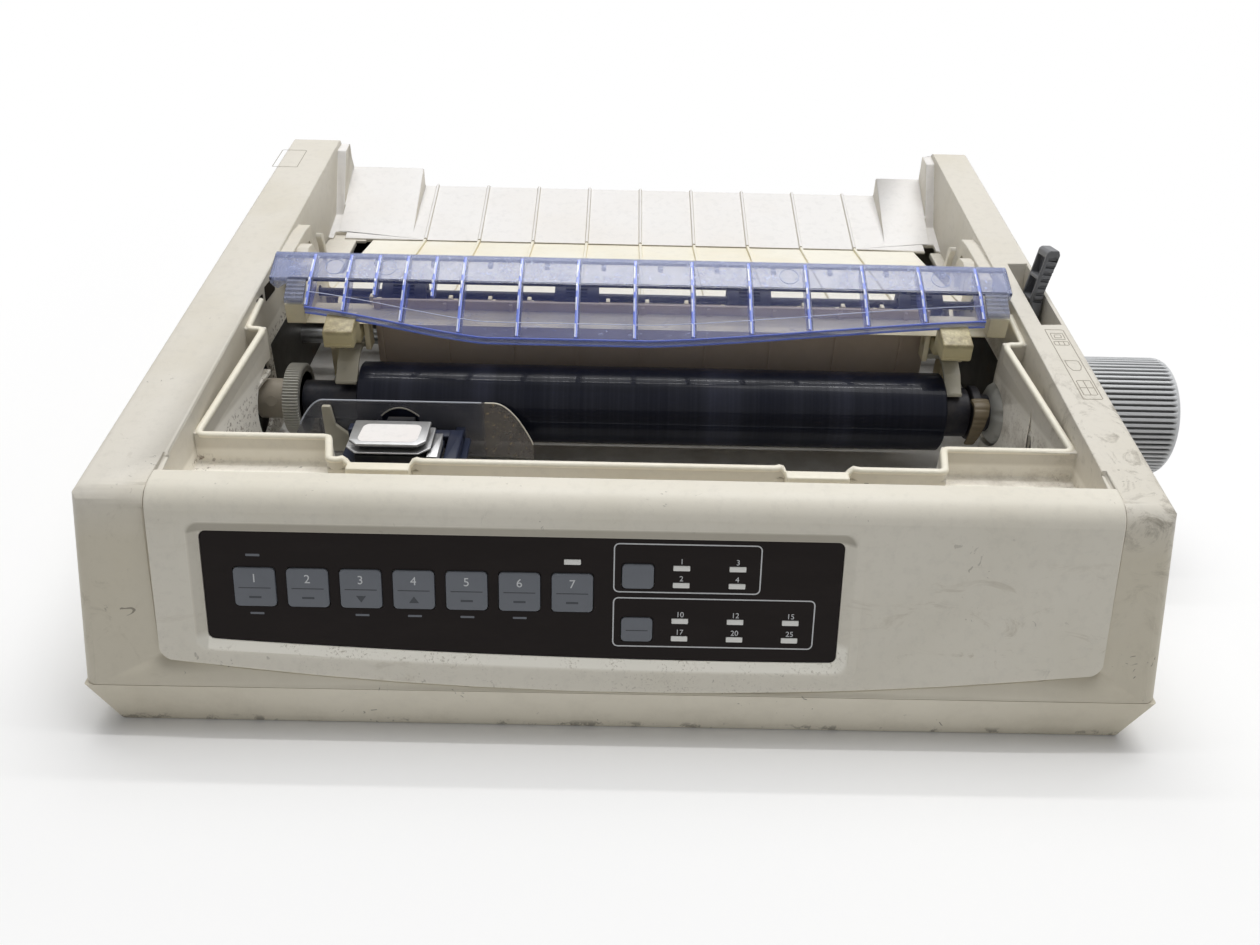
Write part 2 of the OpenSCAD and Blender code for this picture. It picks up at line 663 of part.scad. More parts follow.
module upper_case() {
  color("#cdc8bc") difference() {
    union() {
      // Shell
      difference() {
        case_form(0);
        case_form(wall);
        for (side = [-1, 1], end = [-1, 1]) corner_cutter(side, end);
        block([open_x0, open_y0, gutter_h - 10], [open_x1, deck_y0, rail_back_h + 20]);
        along_x(open_x0, open_x1)
          polygon([[deck_y0 - 1, deck_z(deck_y0 - 1)], [half_d + 3, deck_z(half_d + 3)],
                   [half_d + 3, rail_back_h + 20], [deck_y0 - 1, rail_back_h + 20]]);
      }
      intersection() {
        case_form(0.2);
        union() {
          // Inner walls of the rails and behind the front strip
          block([open_x0 - wall, open_y0 - wall, gutter_h - wall], [open_x0, half_d, rail_back_h + 9]);
          block([open_x1, open_y0 - wall, gutter_h - wall], [open_x1 + wall, half_d, rail_back_h + 9]);
          block([open_x0 - wall, open_y0 - wall, gutter_h - wall],
                [open_x1 + wall, open_y0, rail_back_h + 9]);
          // Backing of the front panel
          front_plate(backing_n, -wall + 0.4)
            polygon([[-top_half_w, 5], [top_half_w, 5], [top_half_w, 70], [-top_half_w, 70]]);
          deck();
          cover_ears();
          // Pocket of the paper lever
          block([pocket_x0 - 2, pocket_y0 - 2, rail_z(0) - pocket_depth - 2],
                [pocket_x1 + 2, pocket_y1 + 2, rail_back_h + 9]);
        }
      }
      // Floor of the gutter
      difference() {
        block([open_x0 - wall, open_y0 - wall, gutter_h - wall], [open_x1 + wall, well_back_y, gutter_h]);
        translate([0, 0, gutter_h - 20]) linear_extrude(40)
          polygon(concat([[open_x0 - 0.2, well_back_y + 1]], well_path, [[open_x1 + 0.2, well_back_y + 1]]));
      }
      well_wall_ring();
      // Posts that carry the control board
      for (x = [window_x0 + 4, window_x1 - 22], v = [window_low + 8, window_top - 4])
        front_plate(board_n, backing_n + 0.3) translate([x, v]) circle(2.5);
      // Lugs that hold the rocker switch
      for (x = [-1, 1])
        block([switch_x + x*(switch_w/2 + 1.6) - 1.2, half_d - 9, inlet_z - 4],
              [switch_x + x*(switch_w/2 + 1.6) + 1.2, half_d - wall + 0.4, inlet_z + 4]);
      // Screw posts
      for (x = [-1, 1], y = [-1, 1])
        rod_z(seam_h, rail_z(y*post_y) - 1, 4, [x*post_x, y*post_y]);
    }
    // Below the joint
    block([-half_w - 9, -half_d - 9, -9], [half_w + 9, half_d + 9, seam_h]);
    // Seat of the front panel
    intersection() {
      difference() {
        case_form(-9);
        case_form(panel_seat);
      }
      front_plate(-22, 12) polygon(panel_outline(panel_gap));
    }
    // Holes for the keys
    for (k = key_places)
      front_plate(backing_n - 1, 1) translate([k[0], k[1]])
        rounded_square([k[2] + 2*key_gap, k[3] + 2*key_gap], key_corner_r);
    // Inside of the lever's pocket, and the slot in its floor
    difference() {
      block([pocket_x0, pocket_y0, rail_z(0) - pocket_depth], [pocket_x1, pocket_y1, rail_back_h + 20]);
      along_x(pocket_x0 - 1, pocket_x1 + 1)
        polygon([[pocket_y1 + 1, rail_z(0) - pocket_depth - 1], [pocket_y1 + 1, rail_back_h],
                 [pocket_y1 - 4, rail_z(pocket_y1) - 7], [pocket_y1 - 13, rail_z(0) - pocket_depth - 1]]);
    }
    block([lever_x0 - 0.4, lever_pivot_y - 17.5, rail_z(0) - pocket_depth - 9],
          [lever_x0 + lever_w + 0.8, lever_pivot_y + 15, rail_z(0) - pocket_depth + 1]);
    // Holes for the drive coupling and the knob's shaft
    rod_x(open_x1 - 14, open_x1 + wall + 1, 15.2, [platen_y, platen_h]);
    rod_x(half_w - 14, half_w + 5, shaft_r + 2.5, [platen_y, platen_h]);
    // Holes in the back for the inlet, the switch and the connector
    block([inlet_x - inlet_w/2, half_d - 9, inlet_z - inlet_h/2],
          [inlet_x + inlet_w/2, half_d + 9, inlet_z + inlet_h/2]);
    block([switch_x - switch_w/2 - 0.3, half_d - 9, inlet_z - switch_h/2 - 0.3],
          [switch_x + switch_w/2 + 0.3, half_d + 9, inlet_z + switch_h/2 + 0.3]);
    rod_x(switch_x - 15, switch_x + 15, 1.5 + run_gap, [half_d - 6, inlet_z]);
    block([port_x - port_w/2 - 0.3, half_d - 9, port_z - port_h/2 - 0.3],
          [port_x + port_w/2 + 0.3, half_d + 9, port_z + port_h/2 + 0.3]);
    // Air slots in the back
    for (i = [0:vent_count - 1])
      block([vent_x + i*vent_pitch, half_d - 9, 34], [vent_x + i*vent_pitch + 3, half_d + 9, 62]);
    // Two windows in the deck's front corners
    for (x = [open_x0 + 3, open_x1 - 9])
      block([x, deck_y0 - 1, deck_front_h - 6], [x + 6, deck_y0 + 6, deck_front_h + 4]);
  }
}

// Back panel pieces
inlet_x = -120;
inlet_z = 46;
inlet_w = 28;
inlet_h = 21;
switch_x = -160;
switch_w = 13;
switch_h = 20;
port_x = 95;
port_z = 40;
port_w = 66;
port_h = 14;
vent_x = -70;
vent_pitch = 8;
vent_count = 12;
switch_tilt = 8;

module lower_case() {
  color("#c6c1b4") difference() {
    union() {
      difference() {
        case_form(0);
        case_form(wall);
        block([-half_w, -half_d, -1], [half_w, half_d, skirt_h]);
      }
      difference() {
        case_form(wall*0.6);
        block([-half_w, -half_d, -1], [half_w, half_d, skirt_h]);
        block([-half_w, -half_d, floor_top], [half_w, half_d, rail_back_h + 30]);
      }
      // Skirt round the bottom
      difference() {
        case_form(0);
        block([-half_w - 5, -half_d - 5, skirt_h], [half_w + 5, half_d + 5, rail_back_h + 30]);
        block([-half_w + side_toe + wall, -half_d + end_toe + wall, -1],
              [half_w - side_toe - wall, half_d - end_toe - wall, skirt_h + 1]);
      }
      // Sockets of the feet
      for (x = [-1, 1], y = [-1, 1]) rod_z(1, floor_top, foot_r + 2, [x*foot_x, y*foot_y]);
      // Posts that meet the upper case's screw posts
      for (x = [-1, 1], y = [-1, 1])
        rod_z(floor_top - 1, seam_h - seam_gap, 5,
              [x*post_x, y*post_y]);
      // Posts under the main board
      for (x = [board_x0 + 5, board_x1 - 5], y = [board_y0 + 5, board_y1 - 5])
        rod_z(floor_top - 1, board_z, 3.5, [x, y]);
      // Tongue inside the joint
      difference() {
        case_form(wall + 0.3);
        case_form(wall + 1.6);
        block([-half_w, -half_d, -1], [half_w, half_d, seam_h - 5]);
        block([-half_w, -half_d, seam_h + 2.5], [half_w, half_d, rail_back_h + 30]);
      }
      intersection() {
        case_form(wall*0.6);
        difference() {
          case_form(0.5);
          case_form(wall + 1.6);
          block([-half_w, -half_d, -1], [half_w, half_d, seam_h - 6]);
          block([-half_w, -half_d, seam_h - 1], [half_w, half_d, rail_back_h + 30]);
        }
      }
    }
    // Above the joint, outside the tongue
    difference() {
      block([-half_w - 9, -half_d - 9, seam_h - seam_gap], [half_w + 9, half_d + 9, rail_back_h + 40]);
      case_form(wall + 0.3);
    }
    for (x = [-1, 1], y = [-1, 1]) {
      rod_z(-1, 2.5, foot_r + 0.05, [x*foot_x, y*foot_y]);
      rod_z(-1, seam_h + 1, 1.8, [x*post_x, y*post_y]);
      rod_z(-1, skirt_h + 8, 3.3, [x*post_x, y*post_y]);
    }
    rod_z(3, floor_top + 1, 1.6, [bracket_x0 + 9, pinion_at[0] - 14]);
  }
}
foot_r = 9;
post_x = half_w - side_toe - wall - 6;
post_y = half_d - 34;
foot_x = half_w - 42;
foot_y = half_d - 30;
board_x0 = -150;
board_x1 = 70;
board_y0 = 24;
board_y1 = 150;
board_z = 12;

module case_feet() {
  color("#2a2a2c") for (x = [-1, 1], y = [-1, 1]) difference() {
    rod_z(0, 2.5, foot_r, [x*foot_x, y*foot_y]);
    rod_z(-1, 1.2, 3, [x*foot_x, y*foot_y]);
  }
}

module front_panel() {
  color("#d7d3cb") difference() {
    intersection() {
      difference() {
        case_form(-panel_proud);
        case_form(panel_seat);
      }
      front_plate(-18, 12) polygon(panel_outline(0));
      block([-half_w, -half_d - 20, 0], [half_w, open_y0, rail_back_h]);
    }
    front_plate(seat_n - 3, 12) polygon(window_outline(0));
    window_funnel();
  }
}
// What the sloping frame round the window leaves open, with one sloping plane for each side
module window_funnel() {
  base = seat_n + 1;
  rate = window_bevel/(panel_proud + 0.3 - base);
  sides = concat([[window_x0, window_top]],
                 [for (k = [0:6]) let (x = window_x0 + window_w*k/6) [x, window_edge(x)]],
                 [[window_x1, window_top]]);
  on_front() intersection_for (i = [0:len(sides) - 1])
    translate(sides[i]) rotate([90, 0, heading(sides[(i + 1)%len(sides)] - sides[i]) - 90])
      translate([0, 0, -400]) linear_extrude(800)
        polygon([[-400, base], [0, base], [12*rate, base + 12], [-400, base + 12]]);
}
module control_overlay() {
  color("#262222") difference() {
    front_plate(seat_n, overlay_n) polygon(window_outline(-0.15));
    for (k = key_places)
      front_plate(seat_n - 1, 2) translate([k[0], k[1]])
        rounded_square([k[2] + 2*key_gap, k[3] + 2*key_gap], key_corner_r);
    for (p = lamp_places)
      front_plate(seat_n - 1, 2) translate(p) square([lamp_w + 0.2, lamp_h + 0.2], center = true);
  }
}
module indicator_lamps() {
  color("#e4e4e0") for (p = lamp_places)
    front_plate(seat_n, overlay_n + 0.15) translate(p) square([lamp_w, lamp_h], center = true);
}
module control_board() {
  color("#3f6b45") {
    front_plate(board_n - board_t, board_n)
      translate([window_x0 + 1, window_low + 4]) square([window_w - 20, window_top - window_low - 4]);
    for (k = key_places)
      front_plate(board_n - eps, board_n + 2) translate([k[0], k[1]]) square(6, center = true);
  }
}
// One key, which stands over its switch on the board
module key(i) {
  k = key_places[i];
  color("#6e747a")
    front_plate(overlay_n - key_depth, overlay_n + key_proud)
      translate([k[0], k[1]]) rounded_square([k[2], k[3]], key_corner_r);
}

// Side frame: a steel plate with a foot that stands on the case floor
module side_frame(x, inner) {
  difference() {
    union() {
      along_x(x, x + frame_t)
        polygon([[belt_y - 16, floor_top], [98, floor_top], [98, 56], [40, 72], [platen_y - 22, 72],
                 [belt_y - 16, 58]]);
      block([inner > 0 ? x : x - 9, belt_y - 14, floor_top],
            [inner > 0 ? x + frame_t + 9 : x + frame_t, 96, floor_top + frame_t]);
    }
    rod_x(x - 1, x + frame_t + 1, bush_r, [platen_y, platen_h]);
    for (y = tractor_y) rod_x(x - 1, x + frame_t + 1, tractor_shaft_r, [y, tractor_z]);
    for (y = [belt_y, 70])
      rod_z(floor_top - 1, floor_top + frame_t + 1, 2.2, [inner > 0 ? x + frame_t + 5 : x - 5, y]);
  }
}
module left_side_frame() {
  color("#9a9c9e") side_frame(frame_x0, -1);
}
module right_side_frame() {
  color("#9a9c9e") difference() {
    union() {
      side_frame(frame_x1, 1);
      // Pin that the paper lever turns on
      rod_x(frame_x1 + 0.5, lever_x0 + lever_w + 1.5, lever_pin_r, [lever_pivot_y, lever_pivot_h]);
    }
  }
}
module bed_plate() {
  color("#8d8f90") difference() {
    union() {
      block([frame_x0 + frame_t, belt_y - 14, bed_h], [frame_x1, 96, bed_h + bed_t]);
      for (x = [upright_x0, upright_x1])
        block([x, guide_y - 18, bed_h + eps], [x + upright_t, guide_y + 20, upright_h]);
      // Folded edges that stiffen the bed
      block([frame_x0 + frame_t, belt_y - 14, bed_h - 6], [frame_x1, belt_y - 12, bed_h + 1]);
      block([frame_x0 + frame_t, 94, bed_h - 6], [frame_x1, 96, bed_h + 1]);
      // Post of the return pulley
      rod_z(bed_h, belt_h + belt_w/2 + 2.4, 2.5, [pulley_x1, belt_y]);
    }
    block([bracket_x0 - 14, pinion_at[0] - motor_r - 8, bed_h - 9],
          [bracket_x0 + motor_l + 24, pinion_at[0] + motor_r + 3, bed_h + 9]);
    rod_z(bed_h - 1, bed_h + bed_t + 1, 6, [pulley_x0, belt_y]);
    rod_z(floor_top, bed_h, motor_r - 1.2, [pulley_x0, belt_y]);
    for (x = [upright_x0, upright_x1]) rod_x(x - 1, x + upright_t + 1, guide_r, [guide_y, guide_h]);
  }
}
module platen_bushes() {
  color("#e6e2d6") for (x = [frame_x0, frame_x1]) difference() {
    union() {
      rod_x(x, x + frame_t, bush_r, [platen_y, platen_h]);
      rod_x(x < 0 ? x - 1.5 : x + frame_t, x < 0 ? x : x + frame_t + 1.5, bush_flange_r,
            [platen_y, platen_h]);
    }
    rod_x(x - 3, x + frame_t + 3, shaft_r + run_gap, [platen_y, platen_h]);
  }
}
module guide_shaft() {
  color("#c9cbcd") rod_x(upright_x0 - 2, upright_x1 + upright_t + 2, guide_r, [guide_y, guide_h]);
}
module timing_belt() {
  color("#26262a") translate([0, 0, belt_h - belt_w/2]) linear_extrude(belt_w) difference() {
    union() {
      for (x = [pulley_x0, pulley_x1]) translate([x, belt_y]) circle(pulley_r + belt_gap + belt_t);
      translate([pulley_x0, belt_y - pulley_r - belt_gap - belt_t])
        square([pulley_x1 - pulley_x0, 2*(pulley_r + belt_gap + belt_t)]);
    }
    for (x = [pulley_x0, pulley_x1]) translate([x, belt_y]) circle(pulley_r + belt_gap);
    translate([pulley_x0, belt_y - pulley_r - belt_gap])
      square([pulley_x1 - pulley_x0, 2*(pulley_r + belt_gap)]);
  }
}
module pulley(x, bore_r) {
  z0 = belt_h - belt_w/2;
  difference() {
    union() {
      rod_z(z0 - 0.4, z0 + belt_w + 0.4, pulley_r, [x, belt_y]);
      rod_z(z0 - 1.6, z0 - 0.4, pulley_flange_r, [x, belt_y]);
      rod_z(z0 + belt_w + 0.4, z0 + belt_w + 1.6, pulley_flange_r, [x, belt_y]);
    }
    rod_z(z0 - 3, z0 + belt_w + 3, bore_r, [x, belt_y]);
  }
}
module drive_pulley() {
  color("#b9babc") pulley(pulley_x0, motor_shaft_r + run_gap);
}
module return_pulley() {
  color("#dcdcd8") pulley(pulley_x1, 2.5 + run_gap);
}
module carriage_motor() {
  color("#4a4c50") {
    rod_z(floor_top + 1, bed_h, motor_r - 1.5, [pulley_x0, belt_y]);
    rod_z(bed_h - eps, belt_h + belt_w/2 + 2.4, motor_shaft_r, [pulley_x0, belt_y]);
  }
}
module line_feed_motor() {
  color("#4a4c50") {
    rod_x(bracket_x0 + bracket_t, bracket_x0 + bracket_t + motor_l, motor_r, pinion_at);
    rod_x(gear_x0 - 1, bracket_x0 + bracket_t + eps, motor_shaft_r, pinion_at);
  }
}
module motor_bracket() {
  color("#a7a9ab") difference() {
    union() {
      along_x(bracket_x0, bracket_x0 + bracket_t)
        polygon([[pinion_at[0] - motor_r - 3.2, floor_top], [pinion_at[0] + motor_r, floor_top],
                 [pinion_at[0] + motor_r, pinion_at[1] + motor_r], [-8, pinion_at[1] + motor_r],
                 [pinion_at[0] - motor_r - 3.2, idler_at[1] + 5]]);
      block([bracket_x0, pinion_at[0] - motor_r - 3.2, floor_top],
            [bracket_x0 + 14, pinion_at[0] + motor_r, floor_top + bracket_t]);
      // Stud of the idler gear
      rod_x(gear_x0 - 1, bracket_x0 + eps, stud_r, idler_at);
    }
    rod_x(bracket_x0 - 1, bracket_x0 + bracket_t + 1, motor_shaft_r + 1, pinion_at);
    rod_z(floor_top - 1, floor_top + bracket_t + 1, 2.2, [bracket_x0 + 9, pinion_at[0] - 14]);
  }
}
// A spur gear on the X axis
module spur(x0, x1, teeth, phase, at, bore_r) {
  r = gear_module*teeth/2;
  translate([0, at[0], at[1]]) difference() {
    along_x(x0, x1) polygon(toothed(teeth, r - gear_module*1.05, r + gear_module*0.75, 0.34, 0.24, phase));
    rod_x(x0 - 1, x1 + 1, bore_r, [0, 0]);
  }
}
module motor_pinion() {
  color("#c8a24a") spur(gear_x0, gear_x1, pinion_teeth, pinion_phase, pinion_at, motor_shaft_r + run_gap);
}
module idler_gear() {
  color("#d9d8d2") spur(gear_x0, gear_x1, idler_teeth, idler_phase, idler_at, stud_r + run_gap);
}
module platen_gear() {
  color("#c9c9c4") {
    difference() {
      spur(gear_x0, gear_x1, platen_teeth, idler_dir, [platen_y, platen_h], shaft_r);
      // The face towards the platen is dished
      rod_x(gear_x0 + 2, gear_x1 + 1, platen_pitch_r - 3.2, [platen_y, platen_h]);
    }
    difference() {
      union() {
        rod_x(gear_hub_x0, gear_x0 + eps, 9, [platen_y, platen_h]);
        rod_x(gear_x0, gear_x1 - 1, 8, [platen_y, platen_h]);
      }
      rod_x(gear_hub_x0 - 1, gear_x1 + 1, shaft_r, [platen_y, platen_h]);
      // Hole of the set screw, facing the front
      translate([gear_hub_x0 + 7, platen_y, platen_h]) rotate([112, 0, 0]) cylinder(h = 12, r = 1.6);
    }
  }
}
module platen_shaft() {
  color("#b4b6b8") rod_x(frame_x0 - 5, knob_x1 - 6, shaft_r, [platen_y, platen_h]);
}
module platen_roller() {
  color("#1f2029") difference() {
    rod_x(platen_x0, platen_x1, platen_r, [platen_y, platen_h]);
    rod_x(platen_x0 - 1, platen_x1 + 1, platen_r - platen_rubber, [platen_y, platen_h]);
  }
}
// Core ends: the sleeve at the left, the collar at the right and a tube between them
module platen_collars() {
  color("#18181b") difference() {
    union() {
      rod_x(gear_x1 - 1, platen_x0 + eps, sleeve_r, [platen_y, platen_h]);
      rod_x(platen_x0, platen_x1, platen_r - platen_rubber, [platen_y, platen_h]);
      rod_x(platen_x1 - eps, platen_x1 + 12, collar_r, [platen_y, platen_h]);
      rod_x(platen_x1 + 12 - eps, platen_x1 + 22.5, 8.4, [platen_y, platen_h]);
    }
    rod_x(gear_x1 - 2, platen_x1 + 30, shaft_r, [platen_y, platen_h]);
  }
}
module drive_coupling() {
  color("#d6d6d2") difference() {
    translate([platen_x1 + 22.5, platen_y, platen_h]) rotate([90, 0, 90])
      rotate_extrude()
        polygon([[0, 0], [8.2, 0], [12.5, 4.5], [14.5, 10], [14.5, 11.5], [9, 13.2], [0, 13.2]]);
    rod_x(platen_x1 + 20, platen_x1 + 45, shaft_r, [platen_y, platen_h]);
  }
}
module platen_knob() {
  color("#8f9194") difference() {
    union() {
      intersection() {
        translate([0, platen_y, platen_h]) along_x(knob_x0, knob_x1)
          polygon(toothed(knob_ribs, knob_r - 1.1, knob_r, 0.42, 0.36, 0));
        translate([knob_x0, platen_y, platen_h]) rotate([90, 0, 90]) rotate_extrude()
          polygon(rounded([[0, 0], [knob_r + 0.5, 0], [knob_r + 0.5, knob_l], [0, knob_l]], [0, 1.5, 4, 0]));
      }
      rod_x(knob_x0 - 2, knob_x0 + 1, shaft_r + 4, [platen_y, platen_h]);
    }
    rod_x(knob_x0 - 5, knob_x1 - 6, shaft_r, [platen_y, platen_h]);
    // Hollow at the back
    difference() {
      rod_x(knob_x0 - 1, knob_x1 - 8, knob_r - 4, [platen_y, platen_h]);
      rod_x(knob_x0 - 5, knob_x1, shaft_r + 4, [platen_y, platen_h]);
    }
  }
}
// Thumb lever that locks the platen's right end down, turning round the platen's axis
module platen_lock_lever() {
  x0 = platen_x1 + 13.2;
  x1 = x0 + 3.6;
  color("#96795a") translate([0, platen_y, platen_h]) difference() {
    union() {
      rod_x(x0, x1, 12.2, [0, 0]);
      along_x(x0, x1) polygon([[-6, -10.5], [-18.5, -6], [-20, 6], [-14, 13], [-4, 11]]);
      along_x(platen_x1 + 6.5, x1)
        polygon([[-19.6, -2], [-20.3, 1], [-18.5, 8], [-14, 13.2], [-12.6, 12], [-15.6, 6], [-16.6, -1]]);
    }
    rod_x(x0 - 1, x1 + 1, 8.4 + run_gap, [0, 0]);
  }
}

module carriage_frame() {
  color("#23252f") difference() {
    union() {
      // Body round the guide shaft
      block([carriage_x0, guide_y - 8.5, guide_h - 8], [carriage_x1, guide_y + 8.5, carriage_top_h - 2]);
      // Top plate
      block([carriage_x0, guide_y - 13, carriage_top_h - 2], [carriage_x1, guide_y + 22, carriage_top_h]);
      // Foot that rides on the bed
      block([head_x - 12, guide_y + 12, bed_h + bed_t + 0.3],
            [head_x + 18, guide_y + 16, carriage_top_h - 1]);
      // Arm to the belt
      block([head_x - 8, belt_y - pulley_r - belt_gap - belt_t - 4, belt_h + belt_w/2 + 2.6],
            [head_x + 12, guide_y - 8, belt_h + belt_w/2 + 5.6]);
      block([head_x - 8, belt_y - pulley_r - belt_gap - belt_t - 4, belt_h - belt_w/2],
            [head_x + 12, belt_y - pulley_r - belt_gap - belt_t - 0.3, belt_h + belt_w/2 + 3]);
    }
    rod_x(carriage_x0 - 1, carriage_x1 + 1, guide_r + run_gap, [guide_y, guide_h]);
    block([head_x + 14, guide_y - 2, carriage_top_h - 3], [head_x + 24, guide_y + 16, carriage_top_h + 1]);
  }
}
// The head's body: a finned block with the nose that holds the pins
module print_head() {
  color("#3a3b3e") {
    block([head_x - head_w/2 + 2, head_y - head_d/2 + 1, carriage_top_h],
          [head_x + head_w/2 - 2, head_y + head_d/2 - 1, head_top_h - 6.5]);
    for (i = [0:1])
      block([head_x - head_w/2 + 4, head_y - head_d/2 + 2.5, head_top_h - 6.6 + i*3],
            [head_x + head_w/2 - 4, head_y + head_d/2 - 2.5, head_top_h - 4.4 + i*3]);
    block([head_x - 6, head_y - 4, head_top_h - 5], [head_x + 6, head_y + 4, head_top_h - 2]);
    along_x(head_x - 6, head_x + 6)
      polygon([[head_y + head_d/2 - 2, carriage_top_h], [platen_y - platen_r - 1, carriage_top_h + 0.4],
               [platen_y - platen_r - 1, carriage_top_h + 5], [head_y + head_d/2 - 2, head_top_h - 5]]);
  }
}
module cut_corner_plate(w, d, cut, z0, z1) {
  translate([head_x, head_y, z0]) linear_extrude(z1 - z0)
    polygon([[-w/2 + cut, -d/2], [w/2 - cut, -d/2], [w/2, -d/2 + cut], [w/2, d/2], [-w/2, d/2],
             [-w/2, -d/2 + cut]]);
}
module head_plates() {
  color("#b5b6b7") {
    cut_corner_plate(head_w, head_d, 3.5, head_top_h - 1.4, head_top_h);
    difference() {
      cut_corner_plate(head_w + 3, head_d + 2, 4.5, head_top_h - 4.4, head_top_h - 3.6);
      block([head_x - 6, head_y - 4, head_top_h - 5], [head_x + 6, head_y + 4, head_top_h - 3]);
    }
  }
}
module ribbon_shield() {
  color("#55565a80") difference() {
    union() {
      translate([0, shield_y + shield_t/2, 0]) along_y(-shield_t/2, shield_t/2)
        polygon([[shield_x0, shield_bottom_h + 8], [shield_x0 + 2, shield_bottom_h],
                 [shield_x1, shield_bottom_h], [shield_x1 - 1, shield_bottom_h + 8],
                 [shield_x1 - 8, shield_top_h - 4], [shield_x1 - 15, shield_top_h],
                 [shield_x0 + 15, shield_top_h], [shield_x0 + 8, shield_top_h - 5]]);
      // Brackets that join it to the carriage
      for (x = [carriage_x0 + 3, carriage_x1 - 7])
        block([x, guide_y + 22, carriage_top_h - 2], [x + 4, shield_y + eps, carriage_top_h + 2]);
    }
    // Arch over the head's nose
    along_y(shield_y - 3, shield_y + 3)
      polygon([[head_x - 8.5, shield_bottom_h - 1], [head_x + 8.5, shield_bottom_h - 1],
               [head_x + 8.5, shield_top_h - 8.5], [head_x + 3, shield_top_h - 3.9],
               [head_x - 3, shield_top_h - 3.9], [head_x - 8.5, shield_top_h - 8.5]]);
  }
}

// Cream guide that leads the paper from the deck over the platen
module paper_guide() {
  color("#d8cda4") difference() {
    union() {
      // Sloping plate with its ribs
      along_x(guide_x0 + block_w, guide_x1 - block_w)
        polygon([[slot_y1, plate_z(slot_y1) - guide_t], [guide_back_y, guide_back_h - guide_t],
                 [guide_back_y, guide_back_h], [slot_y1, plate_z(slot_y1)]]);
      for (i = [0:rib_count - 1])
        along_x(rib_first + i*rib_pitch - rib_w/2, rib_first + i*rib_pitch + rib_w/2)
          polygon([[slot_y1, plate_z(slot_y1) - 1], [guide_back_y, guide_back_h - 1],
                   [guide_back_y, guide_back_h + rib_h], [slot_y1, plate_z(slot_y1) + rib_h]]);
      // Rear bar and front beam
      block([guide_x0 + block_w, guide_back_y - 3, guide_back_h - 9],
            [guide_x1 - block_w, guide_back_y, guide_back_h]);
      along_x(guide_x0 + block_w - 1, guide_x1 - block_w + 1)
        polygon([[beam_y0, beam_h], [beam_y0 + 1.6, beam_h - 0.4], [beam_y0 + 2, beam_h + 2.6],
                 [beam_y0 + 4.4, beam_under_h], [beam_y1, beam_under_h], [beam_y1, beam_h + 7],
                 [beam_y0 + 5, beam_h + 6.6], [beam_y0 + 2, beam_h + 5.6], [beam_y0 + 0.3, beam_h + 3.5]]);
      // Posts across the roller slot
      for (i = [0:post_count])
        let (x = guide_x0 + block_w + 6 + i*(guide_x1 - guide_x0 - 2*block_w - 14)/post_count)
          along_x(x, x + 2)
            polygon([[beam_y1 - 2, beam_under_h + 0.5], [beam_y1 - 2, pull_h - pull_roller_r - 4],
                     [pull_y - 2, pull_h - pull_roller_r - 5.4], [slot_y1 + 0.5, pull_h - pull_roller_r - 6],
                     [slot_y1 + 0.5, plate_z(slot_y1) - 0.4], [pull_y + 3, pull_h - pull_roller_r - 1.6],
                     [pull_y - 2, pull_h - pull_roller_r - 2.2], [beam_y1 - 0.1, pull_h - pull_roller_r],
                     [beam_y1 - 0.1, beam_under_h + 0.5]]);
      // End blocks with the ears of the clear cover
      for (x = [guide_x0, guide_x1 - block_w])
        along_x(x, x + block_w)
          polygon([[beam_y0, beam_h - 0.5], [beam_y0 + 4, beam_h - 2], [slot_y1 + 8, plate_front_h - 12],
                   [slot_y1 + 8, block_top_h - 1],
                   [cover_pivot[0] + 4.5, ear_top_h], [cover_pivot[0] - 3, ear_top_h],
                   [cover_pivot[0] - 6, block_top_h], [beam_y0, block_top_h]]);
      // Legs that stand on the bed
      for (x = [guide_x0, guide_x1 - block_w])
        block([x + 1, slot_y1 + 20, bed_h + bed_t], [x + block_w - 2, slot_y1 + 32, plate_z(slot_y1 + 26)]);
      for (x = [guide_x0, guide_x1 - block_w])
        along_x(x + (x > 0 ? -2 : 0), x + block_w + (x > 0 ? -0.6 : 2))
          polygon([[slot_y1 + 6, plate_front_h - 12], [slot_y1 + 34, plate_z(slot_y1 + 34) - guide_t - 6],
                   [slot_y1 + 34, plate_z(slot_y1 + 34)], [slot_y1 + 6, plate_z(slot_y1 + 6) + 1]]);
      // Lugs that hold the latches' pins
      for (x = latch_lugs)
        along_x(x, x + 2.4)
          polygon([[beam_y0 + 3.4, beam_h - 15], [beam_y0 + 11, beam_h - 15],
                   [beam_y0 + 11, beam_under_h + 0.5],
                   [beam_y0 + 4.4, beam_under_h + 0.5], [beam_y0 + 3.4, beam_h - 3]]);
    }
    rod_x(guide_x0 - 1, guide_x1 + 1, pull_shaft_r + run_gap, [pull_y, pull_h]);
    for (x = [guide_x0 - 1, guide_x1 - 5])
      rod_x(x, x + 6, cover_pin_r + run_gap, cover_pivot);
    for (x = latch_lugs) rod_x(x - 1, x + 3.4, latch_pin_r + run_gap, latch_pivot);
  }
}
latch_lugs = [
  left_latch_x0 - 2.8, left_latch_x0 + latch_w + 0.4,
  right_latch_x0 - 2.8, right_latch_x0 + latch_w + 0.4
];

